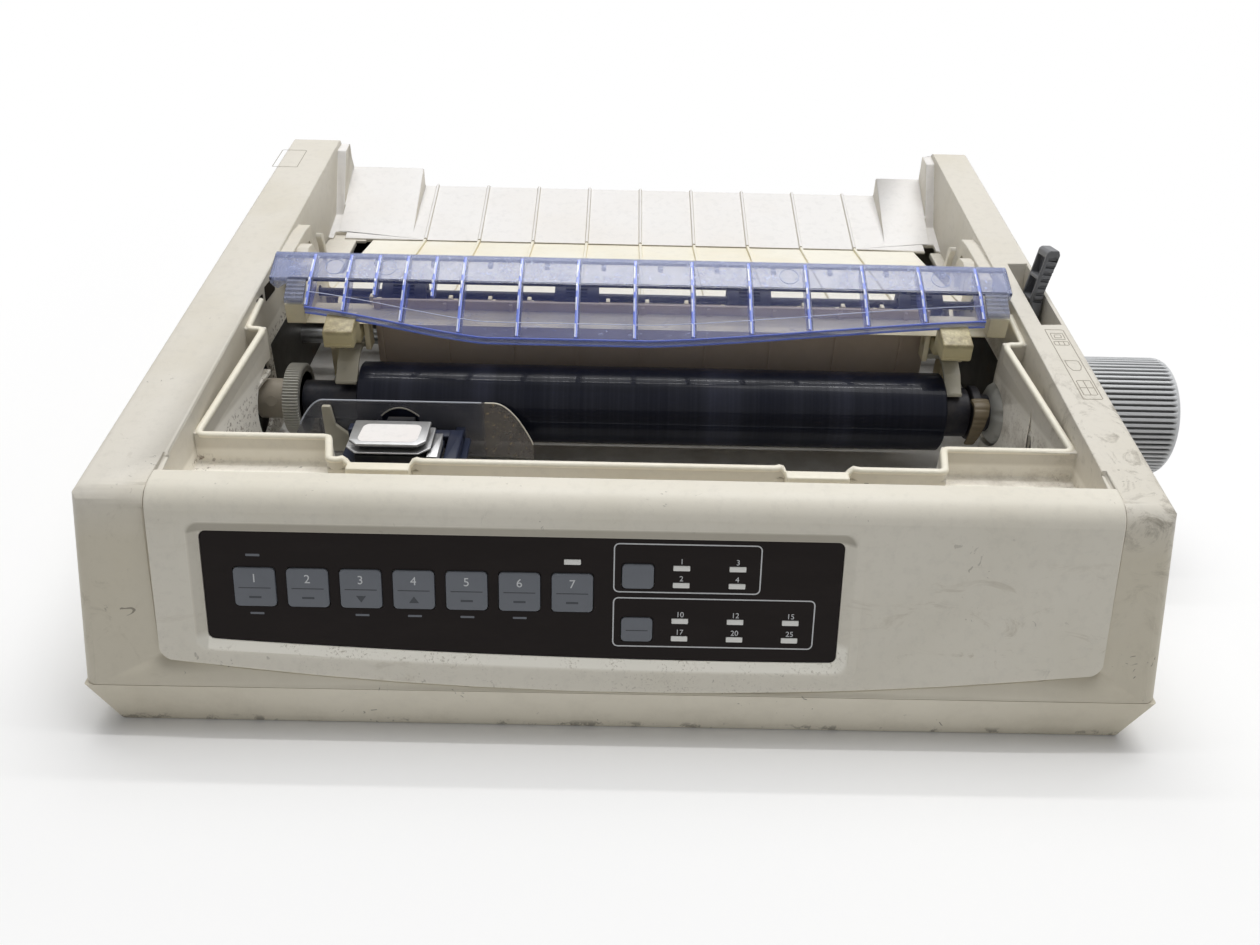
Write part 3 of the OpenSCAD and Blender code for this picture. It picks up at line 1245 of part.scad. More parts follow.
module paper_chute() {
  chute_x0 = platen_x0 + 3;
  chute_x1 = platen_x1 - 4;
  color("#4b433d") {
    along_x(chute_x0, chute_x1)
      polygon([[beam_y1 - 4.4, beam_under_h], [beam_y1 - 4.6, 66], [beam_y1 - 1, 60.5], [beam_y1 + 0.4, 62],
               [beam_y1 - 2.8, 67], [beam_y1 - 2.6, beam_under_h]]);
    for (i = [0:rib_count - 1])
      if (rib_first + i*rib_pitch > chute_x0 + 1 && rib_first + i*rib_pitch < chute_x1 - 1)
        along_x(rib_first + i*rib_pitch - rib_w/2, rib_first + i*rib_pitch + rib_w/2)
          polygon([[beam_y1 - 5.6, beam_under_h - 1], [beam_y1 - 5.6, 67], [beam_y1 - 4, 66],
                   [beam_y1 - 4, beam_under_h - 0.5]]);
  }
}
module pull_up_shaft() {
  color("#1c1c1f") rod_x(guide_x0 + 0.5, guide_x1 - 0.5, pull_shaft_r, [pull_y, pull_h]);
}
module pull_up_rollers() {
  color("#2b2c30") for (i = [0:pull_rollers - 1]) {
    x = roller_first + i*pull_pitch;
    difference() {
      union() {
        translate([0, pull_y, pull_h]) along_x(x - 4.8, x + 4.8)
          polygon(toothed(22, pull_roller_r - 0.7, pull_roller_r, 0.4, 0.4, 0));
        rod_x(x - 10, x - 4.7, pull_roller_r - 0.8, [pull_y, pull_h]);
        rod_x(x + 4.7, x + 10, pull_roller_r - 0.8, [pull_y, pull_h]);
      }
      rod_x(x - 12, x + 12, pull_shaft_r, [pull_y, pull_h]);
    }
  }
}
module clear_cover() {
  color("#7f93e6a0") {
    intersection() {
      along_x(cover_x0, cover_x1)
        polygon([[0, cover_back_h - cover_t], [0, cover_back_h], [-cover_strip_d, cover_crease_h],
                 [cover_y0, cover_lip_h], [cover_y0, cover_lip_h - cover_t],
                 [-cover_strip_d + 0.6, cover_crease_h - cover_t]]);
      // The lip is straight in the middle and draws back towards both ends
      translate([0, 0, cover_lip_h - 20]) linear_extrude(60)
        polygon([[cover_x0, 5], [cover_x0, -10.5], [guide_x0 + 0.6, -11], [guide_x0 + 0.6, beam_y0 - 1],
                 [main_x0, beam_y0 - 1], [main_x0, cover_y0 + cover_lip_taper],
                 [open_mid - 66, cover_y0], [open_mid + 6, cover_y0],
                 [main_x1, cover_y0 + cover_lip_taper], [main_x1, beam_y0 - 1],
                 [guide_x1 - 0.4, beam_y0 - 1], [guide_x1 - 0.4, -13], [cover_x1, -12.5], [cover_x1, 5]]);
    }
    // Fins on the underside
    for (x = concat([main_x0 + fin_t/2], [for (i = [0:10]) fin_first + i*fin_pitch], [main_x1 - fin_t/2]))
      along_x(x - fin_t/2, x + fin_t/2)
        polygon([[-0.5, cover_z(0) - cover_t + 0.4], [-1.5, cover_z(0) - 6],
                 [-cover_strip_d + 2, cover_crease_h - 7.5], [cover_y0 + 15, cover_z(cover_y0 + 15) - 4.6],
                 [cover_y0 + 13, cover_z(cover_y0 + 13) - cover_t + 0.3],
                 [-cover_strip_d, cover_crease_h - cover_t + 0.4]]);
    // End plates with the hinge pins
    for (x = [cover_x0, cover_x1 - cover_t])
      along_x(x, x + cover_t)
        polygon([[0, cover_back_h - 0.8], [-cover_strip_d, cover_crease_h - 0.8],
                 [-cover_strip_d, cover_crease_h - 3], [-9, cover_crease_h - 8],
                 [cover_pivot[0] - 4, cover_pivot[1] - 4],
                 [cover_pivot[0] + 3, cover_pivot[1] - 4], [cover_pivot[0] + 4, cover_pivot[1] + 3],
                 [3, cover_back_h - 1.4]]);
    rod_x(cover_x0 + 1, guide_x0 + 4.5, cover_pin_r, cover_pivot);
    rod_x(guide_x1 - 4.5, cover_x1 - 1, cover_pin_r, cover_pivot);
  }
}
// Latch that hooks the guide down on the platen: a thumb block, an arm and a pin
module latch(x0) {
  y = beam_y0;
  z = latch_pivot[1];
  along_x(x0, x0 + latch_w)
    polygon([[y - 15.2, z + 1.5], [y - 8, z + 1.5], [y - 2, z - 2.6], [y + 8, z - 3], [y + 10.4, z],
             [y + 9, z + 3], [y - 0.8, z + 3.4], [y - 0.8, z + 12.2], [y - 3.2, z + 12.6],
             [y - 15.2, z + 9.3]]);
  rod_x(x0 - 2.6, x0 + latch_w + 2.6, latch_pin_r, latch_pivot);
}
module left_latch() {
  color("#d3c895") latch(left_latch_x0);
}
module right_latch() {
  color("#d3c895") latch(right_latch_x0);
}
// Curved finger below a latch that keeps the paper off the platen's end, with the bar
// that carries it between the latch's lugs
module paper_finger(x0, w, bar_x0) {
  y = latch_pivot[0];
  z = latch_pivot[1];
  along_x(x0, x0 + w)
    polygon([[y - 1, z - 8], [y - 1, z - 6.4], [y - 8, z - 6.6], [y - 14, z - 9.4], [y - 18, z - 13.4],
             [y - 20.4, z - 15.4], [y - 21.6, z - 14.8], [y - 21.9, z - 16], [y - 20.4, z - 17],
             [y - 17, z - 14.6], [y - 13, z - 10.8], [y - 7.6, z - 8.2]]);
  along_x(bar_x0, bar_x0 + latch_w + 0.8)
    polygon([[y - 2, z - 8.4], [y + 3, z - 8.4], [y + 3, z - 5.6], [y - 2, z - 5.6]]);
}
module left_paper_finger() {
  color("#cfcbb8") paper_finger(left_latch_x0 + 2.5, 9.5, left_latch_x0 - 0.4);
}
module right_paper_finger() {
  color("#cfcbb8") paper_finger(right_latch_x0 + 5.3, 7.4, right_latch_x0 - 0.4);
}

// Lever that sets the paper path, leaning back in its pocket
module paper_lever() {
  color("#7c7e80") translate([0, lever_pivot_y, lever_pivot_h]) rotate([-lever_lean, 0, 0]) difference() {
    union() {
      along_y(-lever_d/2, lever_d/2)
        polygon([[lever_x0, 16], [lever_x0 + lever_w, 16], [lever_x0 + lever_w, 27],
                 [lever_x0 + lever_w + 1, 49], [lever_x0 + lever_w + 5.4, lever_l - 2],
                 [lever_x0 + lever_w + 4.6, lever_l], [lever_x0 + 7, lever_l], [lever_x0 + 5.8, lever_l - 1],
                 [lever_x0 + 1.8, 48], [lever_x0, 27]]);
      block([lever_x0 + 1, -3.6, 0], [lever_x0 + lever_w - 1, 3.6, 17]);
      rod_x(lever_x0 + 0.4, lever_x0 + lever_w - 0.4, 6, [0, 0]);
    }
    rod_x(lever_x0 - 1, lever_x0 + lever_w + 1, lever_pin_r + run_gap, [0, 0]);
    // Open cells in the left side
    for (i = [0:3])
      block([lever_x0 - 1, -lever_d/2 + 1.4, 27 + i*10],
            [lever_x0 + 4 + i*1.2, lever_d/2 - 1.4, 35.4 + i*10]);
    // Grip grooves in the front
    for (i = [0:6])
      block([lever_x0 + 3 + 0.6*i, -lever_d/2 - 1, 45 + i*3.2],
            [lever_x0 + lever_w + 1 + 0.6*i, -lever_d/2 + 0.7, 46.2 + i*3.2]);
  }
}

// Pin-feed tractors on their two shafts
tractor_y = [52, 76];
tractor_z = 50;
tractor_shaft_r = 4;
tractor_w = 16;
left_tractor_x0 = -125;
right_tractor_x0 = 105;
module tractor_shafts() {
  color("#b0b2b4") for (y = tractor_y) rod_x(frame_x0, frame_x1 + frame_t, tractor_shaft_r, [y, tractor_z]);
}
module tractor(x0) {
  difference() {
    union() {
      along_x(x0, x0 + tractor_w)
        polygon(rounded([[tractor_y[0] - 12, tractor_z - 9], [tractor_y[1] + 12, tractor_z - 9],
                         [tractor_y[1] + 12, tractor_z + 13], [tractor_y[0] - 12, tractor_z + 13]],
                        [8, 8, 8, 8]));
      // Feed pins
      for (i = [0:3])
        rod_z(tractor_z + 12, tractor_z + 15.5, 1.9, [x0 + tractor_w/2, tractor_y[0] - 6 + i*12.7]);
    }
    for (y = tractor_y) rod_x(x0 - 1, x0 + tractor_w + 1, tractor_shaft_r + run_gap, [y, tractor_z]);
  }
}
module left_tractor() {
  color("#3c3d40") tractor(left_tractor_x0);
}
module right_tractor() {
  color("#3c3d40") tractor(right_tractor_x0);
}

module main_board() {
  color("#2f6a3c") {
    block([board_x0, board_y0, board_z], [board_x1, board_y1, board_z + 1.6]);
    block([-120, 60, board_z + 1.5], [-68, 74, board_z + 5]);
    block([-50, 60, board_z + 1.5], [-14, 74, board_z + 5]);
    block([-120, 90, board_z + 1.5], [-68, 104, board_z + 5]);
    block([0, 60, board_z + 1.5], [30, 90, board_z + 5]);
    block([-60, 110, board_z + 1.5], [20, 118, board_z + 10]);
  }
}
module power_transformer() {
  x0 = 84;
  y0 = half_d - 66.5;
  color("#5b5d62") {
    block([x0, y0, floor_top], [x0 + 66, y0 + 44, floor_top + 3]);
    block([x0 + 6, y0 + 8, floor_top + 2.9], [x0 + 60, y0 + 36, floor_top + 24]);
    block([x0 + 16, y0 + 2, floor_top + 2.9], [x0 + 50, y0 + 42, floor_top + 21]);
  }
}
module power_inlet() {
  color("#1d1d1f") difference() {
    union() {
      block([inlet_x - inlet_w/2 + 0.3, half_d - 20, inlet_z - inlet_h/2 + 0.3],
            [inlet_x + inlet_w/2 - 0.3, half_d + 0.5, inlet_z + inlet_h/2 - 0.3]);
      block([inlet_x - inlet_w/2 - 3, half_d + 0.5, inlet_z - inlet_h/2 - 3],
            [inlet_x + inlet_w/2 + 3, half_d + 2.5, inlet_z + inlet_h/2 + 3]);
    }
    block([inlet_x - 11, half_d - 14, inlet_z - 7.5], [inlet_x + 11, half_d + 5, inlet_z + 7.5]);
  }
  color("#b0b0b0") for (i = [-1, 0, 1])
    block([inlet_x + i*6 - 1, half_d - 14.5, inlet_z - 2 + 3*abs(i) - 3],
          [inlet_x + i*6 + 1, half_d - 2, inlet_z + 2 + 3*abs(i) - 3]);
}
module data_connector() {
  color("#a9a498") difference() {
    block([port_x - port_w/2, half_d - 12, port_z - port_h/2],
          [port_x + port_w/2, half_d + 2, port_z + port_h/2]);
    block([port_x - port_w/2 + 3, half_d - 8, port_z - port_h/2 + 3],
          [port_x + port_w/2 - 3, half_d + 5, port_z + port_h/2 - 3]);
  }
}
module power_switch() {
  color("#202022") translate([switch_x, half_d - 6, inlet_z]) rotate([switch_tilt, 0, 0]) {
    along_x(-switch_w/2, switch_w/2)
      polygon([[-4, -3], [3, -8.6], [7.6, -8.2], [6.4, 0], [7.6, 8.2], [3, 8.6], [-4, 3]]);
    rod_x(-switch_w/2 - 2.7, switch_w/2 + 2.7, 1.5, [0, 0]);
  }
}
// Screws of the frame feet, the motor bracket and the case
module screws() {
  color("#a8a9ab") {
    for (s = [[frame_x0 - 5, belt_y], [frame_x0 - 5, 70], [frame_x1 + frame_t + 5, belt_y],
              [frame_x1 + frame_t + 5, 70]])
      translate([s[0], s[1], floor_top + frame_t]) pan_head();
    translate([bracket_x0 + 9, pinion_at[0] - 14, floor_top + bracket_t]) pan_head();
    for (x = [-1, 1], y = [-1, 1])
      translate([x*post_x, y*post_y, skirt_h + 8]) rotate([180, 0, 0])
        pan_head();
  }
}
module pan_head() {
  difference() {
    union() {
      cylinder(h = 1.8, r = 3);
      translate([0, 0, -2]) cylinder(h = 2.1, r = 1.4);
    }
    translate([-0.4, -2.2, 1]) cube([0.8, 4.4, 1]);
    translate([-2.2, -0.4, 1]) cube([4.4, 0.8, 1]);
  }
}

lower_case();
upper_case();
case_feet();
front_panel();
control_overlay();
indicator_lamps();
control_board();
key(0);  // key_1
key(1);  // key_2
key(2);  // key_3
key(3);  // key_4
key(4);  // key_5
key(5);  // key_6
key(6);  // key_7
key(7);  // key_8
key(8);  // key_9
left_side_frame();
right_side_frame();
bed_plate();
platen_bushes();
guide_shaft();
timing_belt();
carriage_motor();
drive_pulley();
return_pulley();
line_feed_motor();
motor_bracket();
motor_pinion();
idler_gear();
platen_gear();
platen_shaft();
platen_roller();
platen_collars();
drive_coupling();
platen_knob();
platen_lock_lever();
carriage_frame();
print_head();
head_plates();
ribbon_shield();
paper_guide();
paper_chute();
pull_up_shaft();
pull_up_rollers();
clear_cover();
left_latch();
right_latch();
left_paper_finger();
right_paper_finger();
paper_lever();
tractor_shafts();
left_tractor();
right_tractor();
main_board();
power_transformer();
power_inlet();
data_connector();
power_switch();
screws();
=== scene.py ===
# %% [markdown]
# A small office printer is dressed here for its picture. The solid model comes in as a fixed frame, already
# at its real size, and every piece made below is worked out in the same millimetres and rides on one of its
# bodies.

# %% Load the frame and keep its box
import bpy, bmesh, json, math
import numpy as np
from mathutils import Matrix, Vector

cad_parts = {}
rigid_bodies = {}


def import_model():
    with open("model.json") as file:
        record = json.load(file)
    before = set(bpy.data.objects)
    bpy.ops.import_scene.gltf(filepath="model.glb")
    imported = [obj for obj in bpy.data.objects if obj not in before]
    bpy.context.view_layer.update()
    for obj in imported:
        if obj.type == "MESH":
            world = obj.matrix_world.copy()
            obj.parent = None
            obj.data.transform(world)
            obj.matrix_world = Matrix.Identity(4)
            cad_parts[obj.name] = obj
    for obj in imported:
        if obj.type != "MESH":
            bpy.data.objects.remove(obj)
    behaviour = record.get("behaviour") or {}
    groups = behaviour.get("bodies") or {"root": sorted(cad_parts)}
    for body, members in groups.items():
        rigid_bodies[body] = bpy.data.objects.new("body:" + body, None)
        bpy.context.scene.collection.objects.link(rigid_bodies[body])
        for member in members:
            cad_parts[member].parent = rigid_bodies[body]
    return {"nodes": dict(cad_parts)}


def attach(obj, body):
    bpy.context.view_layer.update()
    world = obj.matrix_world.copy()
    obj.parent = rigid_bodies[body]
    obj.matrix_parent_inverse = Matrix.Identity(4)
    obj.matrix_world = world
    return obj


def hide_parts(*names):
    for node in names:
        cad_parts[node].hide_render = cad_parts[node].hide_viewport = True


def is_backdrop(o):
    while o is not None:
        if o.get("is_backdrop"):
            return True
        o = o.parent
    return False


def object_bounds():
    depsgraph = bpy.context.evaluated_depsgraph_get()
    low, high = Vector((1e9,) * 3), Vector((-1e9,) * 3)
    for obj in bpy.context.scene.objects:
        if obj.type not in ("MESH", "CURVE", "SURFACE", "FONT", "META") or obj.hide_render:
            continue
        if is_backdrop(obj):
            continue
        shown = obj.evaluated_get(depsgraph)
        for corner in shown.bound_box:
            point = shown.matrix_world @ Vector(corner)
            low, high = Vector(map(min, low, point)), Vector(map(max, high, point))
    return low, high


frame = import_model()
cad_low, cad_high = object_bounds()
MM = 0.001
ROOT = "printer"
CASE_MIDDLE = 3.5                      # X of the middle between the rails
PANEL_FOOT = (-172.5, 21)              # Y and Z of the leaning front's lower edge
LEAN = math.atan2(21.5, 72)            # how far the front leans back
AXIS = (0, -33, 62)                    # the platen's axis, along X
print("frame size in mm:", [round((b - a)/MM, 1) for a, b in zip(cad_low, cad_high)])

# %% [markdown]
# The camera stands where the photographer stood: low over the front edge, looking down at about 34 degrees,
# turned and rolled by less than two degrees. Those three angles and the lens were fitted once to the case's
# edges, so the picture can be laid over the photograph and compared point by point.

# %% Camera
camera = bpy.data.objects.new("camera", bpy.data.cameras.new("camera"))
bpy.context.scene.collection.objects.link(camera)
camera.data.sensor_width, camera.data.lens, camera.data.clip_start = 36, 31.458, 0.01
yaw, pitch, roll = 0.01193, 0.59924, 0.02705
ahead = Vector((math.sin(yaw)*math.cos(pitch), math.cos(yaw)*math.cos(pitch), -math.sin(pitch)))
level = Vector((math.cos(yaw), -math.sin(yaw), 0))
above = level.cross(ahead)
right = math.cos(roll)*level + math.sin(roll)*above
up = math.cos(roll)*above - math.sin(roll)*level
place = (-0.00299, -0.46291, 0.31875)
camera.matrix_world = Matrix([(right[i], up[i], -ahead[i], place[i]) for i in range(3)] + [(0, 0, 0, 1)])
bpy.context.scene.camera = camera
bpy.context.scene.view_settings.view_transform = "Standard"
print("camera height in mm:", round(camera.location.z/MM))

# %% [markdown]
# A material is a small program: numbers flow from noise through sums into colour and roughness. Written as
# nodes it is hard to read, so three small classes let it be written as ordinary sums. Term stands for one
# output of a node, and adding or multiplying Terms adds Math nodes. Nodes is any tree of them, such as the
# world's, and Finish is the material itself.

# %% Shader sums as expressions
class Term:
    """One output of a node. Sums of Terms and numbers add Math nodes to its tree."""
    def __init__(self, owner, socket):
        self.owner, self.socket = owner, socket
    def math(self, operation, *values, clamp=False):
        settings = {"operation": operation, "use_clamp": clamp}
        return self.owner.node("ShaderNodeMath", settings, dict(enumerate(values)))
    def __add__(self, other): return self.math("ADD", self, other)
    __radd__ = __add__
    def __sub__(self, other): return self.math("SUBTRACT", self, other)
    def __mul__(self, other): return self.math("MULTIPLY", self, other)
    __rmul__ = __mul__
    def __pow__(self, other): return self.math("POWER", self, other)
    def __abs__(self): return self.math("ABSOLUTE", self)
    def clamp(self): return self.math("ADD", self, 0.0, clamp=True)
    def most(self, other): return self.math("MAXIMUM", self, other)
    def step(self, low, high):
        """0 below low, 1 above high, and an even rise between; low may be the larger."""
        return ((self - low)*(1/(high - low))).clamp()

class Nodes:
    """The node tree of a material or a world."""
    def __init__(self, owner):
        owner.use_nodes = True
        self.tree = owner.node_tree
    def join(self, socket, value):
        if isinstance(value, Term):
            self.tree.links.new(value.socket, socket)
        else:
            socket.default_value = value
    def node(self, kind, settings=None, inputs=None, out=0):
        """Any node: its settings are set first, then its sockets, and one output comes back as a Term."""
        made = self.tree.nodes.new(kind)
        for key, value in (settings or {}).items():
            setattr(made, key, value)
        for key, value in (inputs or {}).items():
            self.join(made.inputs[key], value)
        return Term(self, made.outputs[out])
    def seen_ray(self):
        """1 for rays from the camera, a mirror or a clear piece, and 0 for the light that bounces."""
        kinds = ("Is Camera Ray", "Is Glossy Ray", "Is Transmission Ray")
        camera_ray, glossy_ray, through_ray = (self.node("ShaderNodeLightPath", out=kind) for kind in kinds)
        return camera_ray.most(glossy_ray).most(through_ray)
    def shown(self, share, first, second, output):
        """The first shader, turned into the second by a share, as the tree's output."""
        mixed = self.node("ShaderNodeMixShader", {}, {0: share, 1: first, 2: second})
        self.join(self.tree.nodes[output].inputs[0], mixed)

class Finish(Nodes):
    """A material whose pattern is worked out from the place on the object, in metres."""
    def __init__(self, name, **fixed):
        self.material = bpy.data.materials.new(name)
        super().__init__(self.material)
        self.shader = self.tree.nodes["Principled BSDF"]
        for key, value in fixed.items():
            self.set(key.replace("_", " ").title().replace("Ior", "IOR"), value)
    def set(self, socket, value):
        self.join(self.shader.inputs[socket], value)
        return self
    def place(self):
        return self.node("ShaderNodeTexCoord", out="Object")
    def axes(self, place):
        parts = self.node("ShaderNodeSeparateXYZ", {}, {0: place}).socket.node
        return [Term(self, parts.outputs[i]) for i in range(3)]
    def stretch(self, place, sizes):
        return self.node("ShaderNodeVectorMath", {"operation": "MULTIPLY"}, {0: place, 1: sizes})
    def noise(self, place, scale, detail=2.0, rough=0.5, twist=0.0):
        return self.node("ShaderNodeTexNoise", {}, {"Vector": place, "Scale": scale, "Detail": detail,
                                                    "Roughness": rough, "Distortion": twist})
    def mix(self, first, second, share):
        return self.node("ShaderNodeMix", {"data_type": "RGBA"}, {0: share, 6: first, 7: second}, out=2)
    def layered(self, tone, *layers):
        """Each layer, a share and a colour of three numbers, is laid over the tone in turn."""
        for share, *colour in layers:
            tone = self.mix(tone, paint(*colour), share)
        return tone
    def bump(self, height, distance):
        return self.set("Normal", self.node("ShaderNodeBump", {}, {"Height": height, "Distance": distance,
                                                                   "Strength": 1.0}))

def paint(red, green, blue):
    """A colour given as 0 to 255 on the screen, turned into the linear values that the shader works in."""
    c = np.array([red, green, blue])/255
    return tuple(np.where(c <= 0.04045, c/12.92, ((c + 0.055)/1.055)**2.4)) + (1.0,)

# %% [markdown]
# Old moulded plastic is never one colour. The real case has a fine spark-eroded grain, broad clouds of
# yellowing, small grey scuffs where things were dragged over it, and brown dust where nobody wipes. Each of
# these is one noise at its own size. A photograph could be wrapped round the part instead, but a pattern
# worked out from the place has no seams and stays sharp from any side.

# %% Dirt, and painted light and shade, in their own places
def nicks(f, p, tone, where):
    """A few short dark scratches in loose groups, where the mask allows them."""
    thin = f.noise(f.stretch(p, (1.0, 1.6, 0.8)), 170, 2, 0.5, 2.2).step(0.700, 0.725)
    group = f.noise(p, 33, 1).step(0.53, 0.60)
    return f.layered(tone, (thin*group*where*0.62, 84, 76, 64))

def case_dirt_and_painted_light(f, p, tone):
    """Brown dust in the gutter round the well, grime low on the front, worn and dirty corners, and the
    gutter's floor painted near white as painted light against the shade of its walls.
    """
    x, y, z = f.axes(p)
    across = abs(x - CASE_MIDDLE*MM)
    gutter = across.step(0.1735, 0.1722)*y.step(0.100, 0.020)*z.step(0.0905, 0.0765)*y.step(-0.1530, -0.1500)
    soil = gutter*z.step(0.0815, 0.0795)*x.step(0.070, 0.165)*f.noise(p, 64, 6, 0.72).step(0.46, 0.64)
    edges = x.step(-0.156, -0.164).most(across.step(0.1600, 0.1660)*0.35).most(0.12)
    specks = gutter*z.step(0.0795, 0.0775)*edges*f.noise(p, 520, 3, 0.7).step(0.53, 0.62)
    front = y.step(-0.1500, -0.1560)
    foot = z.step(0.034, 0.002)*f.noise(p, 58, 6, 0.72).step(0.46, 0.72)
    chips = z.step(0.0045, 0.0020)*f.noise(p, 120, 4, 0.7).step(0.55, 0.62)
    smear = f.noise(f.stretch(p, (1.0, 0.8, 1.0)), 60, 7, 0.75, 1.8)
    corner = x.step(0.150, 0.185)*y.step(-0.02, -0.09)*z.step(0.075, 0.090)
    side = across.step(0.172, 0.190)*z.step(0.030, 0.060)*front
    cheek = x.step(0.168, 0.186)*z.step(0.020, 0.085)*front
    left = x.step(-0.160, -0.185)*y.step(-0.06, -0.12)
    # Painted light: the first layer and the fifth paint the gutter's low floor near white, lifting the shade
    # that its walls and rim cast.
    tone = f.layered(tone, (gutter*z.step(0.0825, 0.0810)*0.92, 250, 246, 236),
                     (gutter*f.noise(p, 42, 4, 0.7).step(0.46, 0.78)*0.16, 176, 162, 140),
                     (soil*0.42, 132, 116, 92), (specks*0.78, 104, 80, 60),
                     (front*z.step(0.0825, 0.0810)*across.step(0.186, 0.110)*0.92, 250, 246, 236),
                     (front*0.55, 203, 194, 170), (foot*0.20, 136, 126, 106), (chips*0.55, 62, 54, 46),
                     (corner*smear.step(0.51, 0.65)*0.62, 112, 103, 88),
                     (side*smear.step(0.55, 0.66)*0.12, 118, 108, 88),
                     (cheek*smear.step(0.50, 0.66)*0.34, 112, 103, 86),
                     (left*smear.step(0.57, 0.68)*0.20, 138, 128, 108))
    return nicks(f, p, tone, y.step(0.010, -0.060))

def from_axis(y, z):
    """How far a place lies from the platen's axis."""
    across, height = y - AXIS[1]*MM, z - AXIS[2]*MM
    return (across*across + height*height)**0.5

def knob_dark_grooves(f, p, tone):
    """The grip is darkened to a deep grey between the knob's ribs: everything on it that lies inside their
    tops.
    """
    x, y, z = f.axes(p)
    grip = x.step(0.2020, 0.2032)*x.step(0.2382, 0.2370)
    return f.layered(tone, (from_axis(y, z).step(0.02625, 0.02560)*grip*0.90, 58, 57, 56))

def gear_dirt(f, p, tone):
    """The gear's faces inside the teeth hold brown grease; the hub at its left is nearly clean."""
    x, y, z = f.axes(p)
    face = from_axis(y, z).step(0.0152, 0.0140)*x.step(-0.1520, -0.1516)
    return f.layered(tone, (face*f.noise(p, 130, 5, 0.7).step(0.30, 0.62)*0.62, 84, 76, 68),
                     (x.step(-0.1518, -0.1522)*0.6, 150, 136, 116))

def panel_dust(f, p, tone):
    """Rubbed places, and brown specks that have rolled down to the window's slope and the lower edge."""
    x, y, z = f.axes(p)
    speck = f.noise(p, 900, 3, 0.7).step(0.57, 0.66)*f.noise(p, 55, 3).step(0.44, 0.60)
    slope = z.step(0.0445, 0.0410)*x.step(0.090, 0.070)
    rub = f.noise(f.stretch(p, (0.4, 1.0, 1.0)), 95, 5, 0.75, 1.0).step(0.58, 0.70)
    rubbed = (rub*z.step(0.100, 0.020)*(x.step(0.080, 0.110)*0.35 + 0.30)).clamp()
    tone = nicks(f, p, f.layered(tone, (rubbed, 168, 156, 134)), 0.55)
    return f.layered(tone, (speck*(slope*0.22 + z.step(0.030, 0.022)*0.30).clamp(), 104, 90, 72))

def latch_dirt(f, p, tone):
    """Finger dirt on the latches' tops."""
    x, y, z = f.axes(p)
    top = z.step(0.0972, 0.0992)*y.step(0.000, -0.040)
    return f.layered(tone, (top*f.noise(p, 210, 5, 0.7).step(0.30, 0.55)*0.72, 98, 84, 62))

def window_painted_light_and_shade(f, p, tone):
    """Painted light and shade inside the window's frame: the lower slope is painted paler, with real dust on
    it, and the upper and left ones are painted greyer.
    """
    x, y, z = f.axes(p)
    depth = (y - PANEL_FOOT[0]*MM)*(-math.cos(LEAN)) + (z - PANEL_FOOT[1]*MM)*math.sin(LEAN)
    within = depth.step(0.00126, 0.00085)
    grit = f.noise(p, 900, 3, 0.7).step(0.54, 0.66)*f.noise(p, 90, 3).step(0.42, 0.58)
    upper = z.step(0.0785, 0.0800)*0.75
    # Painted highlight on the lower slope, brown grit on it, then painted shade on the upper and left slopes.
    return f.layered(panel_dust(f, p, tone), (within*z.step(0.0425, 0.0400)*0.90, 252, 249, 238),
                     (within*grit*z.step(0.0440, 0.0400)*0.55, 150, 138, 118),
                     (within*upper.most(x.step(-0.1508, -0.1514)*0.30), 150, 144, 130))

# %% [markdown]
# Each plastic is then one call: a colour, the colour that it has aged to, its gloss, how strong the clouds
# and the scuffs are, and the dirt that it has in places of its own; for the case and the window's frame that
# includes painted light and shade.

# %% Aged plastic
def aged_plastic(name, colour, stain, roughness=0.5, clouds=0.6, scuff=0.3, scuffs=(110, 104, 92), dust=None):
    """Base colour, wide clouds of stain, thin scuffs and a fine grain; dust adds a mask of its own, of dirt
    and, for some plastics, of painted light and shade.
    """
    f = Finish(name, specular_ior_level=0.4)
    p = f.place()
    cloud = f.noise(p, 13, 4, 0.6)
    fine = f.noise(p, 260, 4, 0.65)
    marks = f.noise(f.stretch(p, (1.0, 0.55, 1.0)), 75, 6, 0.72, 1.2).step(0.63, 0.72)
    where = f.noise(p, 17, 2).step(0.5, 0.62)
    tone = f.mix(paint(*colour), paint(*stain), cloud.step(0.45, 0.72)*clouds)
    speckle = (fine.step(0.5, 0.75)*0.35, *[c*0.9 for c in colour])
    tone = f.layered(tone, speckle, (marks*where*scuff, *scuffs))
    f.set("Base Color", dust(f, p, tone) if dust else tone)
    f.set("Roughness", (cloud - 0.5)*0.15 + (roughness + marks*where*0.2))
    return f.bump(f.noise(p, 1500, 2, 0.5), 0.00003)

CASE = aged_plastic("case_cream", (216, 211, 200), (200, 192, 172), 0.50, 0.50, 0.26, dust=case_dirt_and_painted_light)
RIM = aged_plastic("case_rim", (240, 235, 220), (228, 218, 192), 0.38, 0.5, 0.25, (150, 140, 118))
DECK = aged_plastic("deck_white", (232, 230, 228), (226, 220, 212), 0.45, 0.4, 0.22, (170, 166, 160))
PANEL = aged_plastic("panel_cream", (226, 221, 208), (212, 206, 188), 0.48, 0.4, 0.38, dust=panel_dust)
FRAME = aged_plastic("window_frame", (226, 221, 208), (212, 206, 188), 0.48, 0.4, 0.38, dust=window_painted_light_and_shade)
CREAM = aged_plastic("guide_cream", (226, 217, 188), (206, 188, 142), 0.40, 0.7, 0.30)
GUIDE = aged_plastic("guide_white", (234, 230, 216), (224, 214, 186), 0.40, 0.6, 0.22, (160, 150, 128))
YELLOW = aged_plastic("latch_yellow", (208, 198, 158), (176, 158, 114), 0.42, 0.8, 0.5, (92, 76, 54),
                      latch_dirt)
FINGER = aged_plastic("finger_grey", (190, 186, 170), (146, 136, 116), 0.40, 0.8, 0.6, (92, 82, 66))
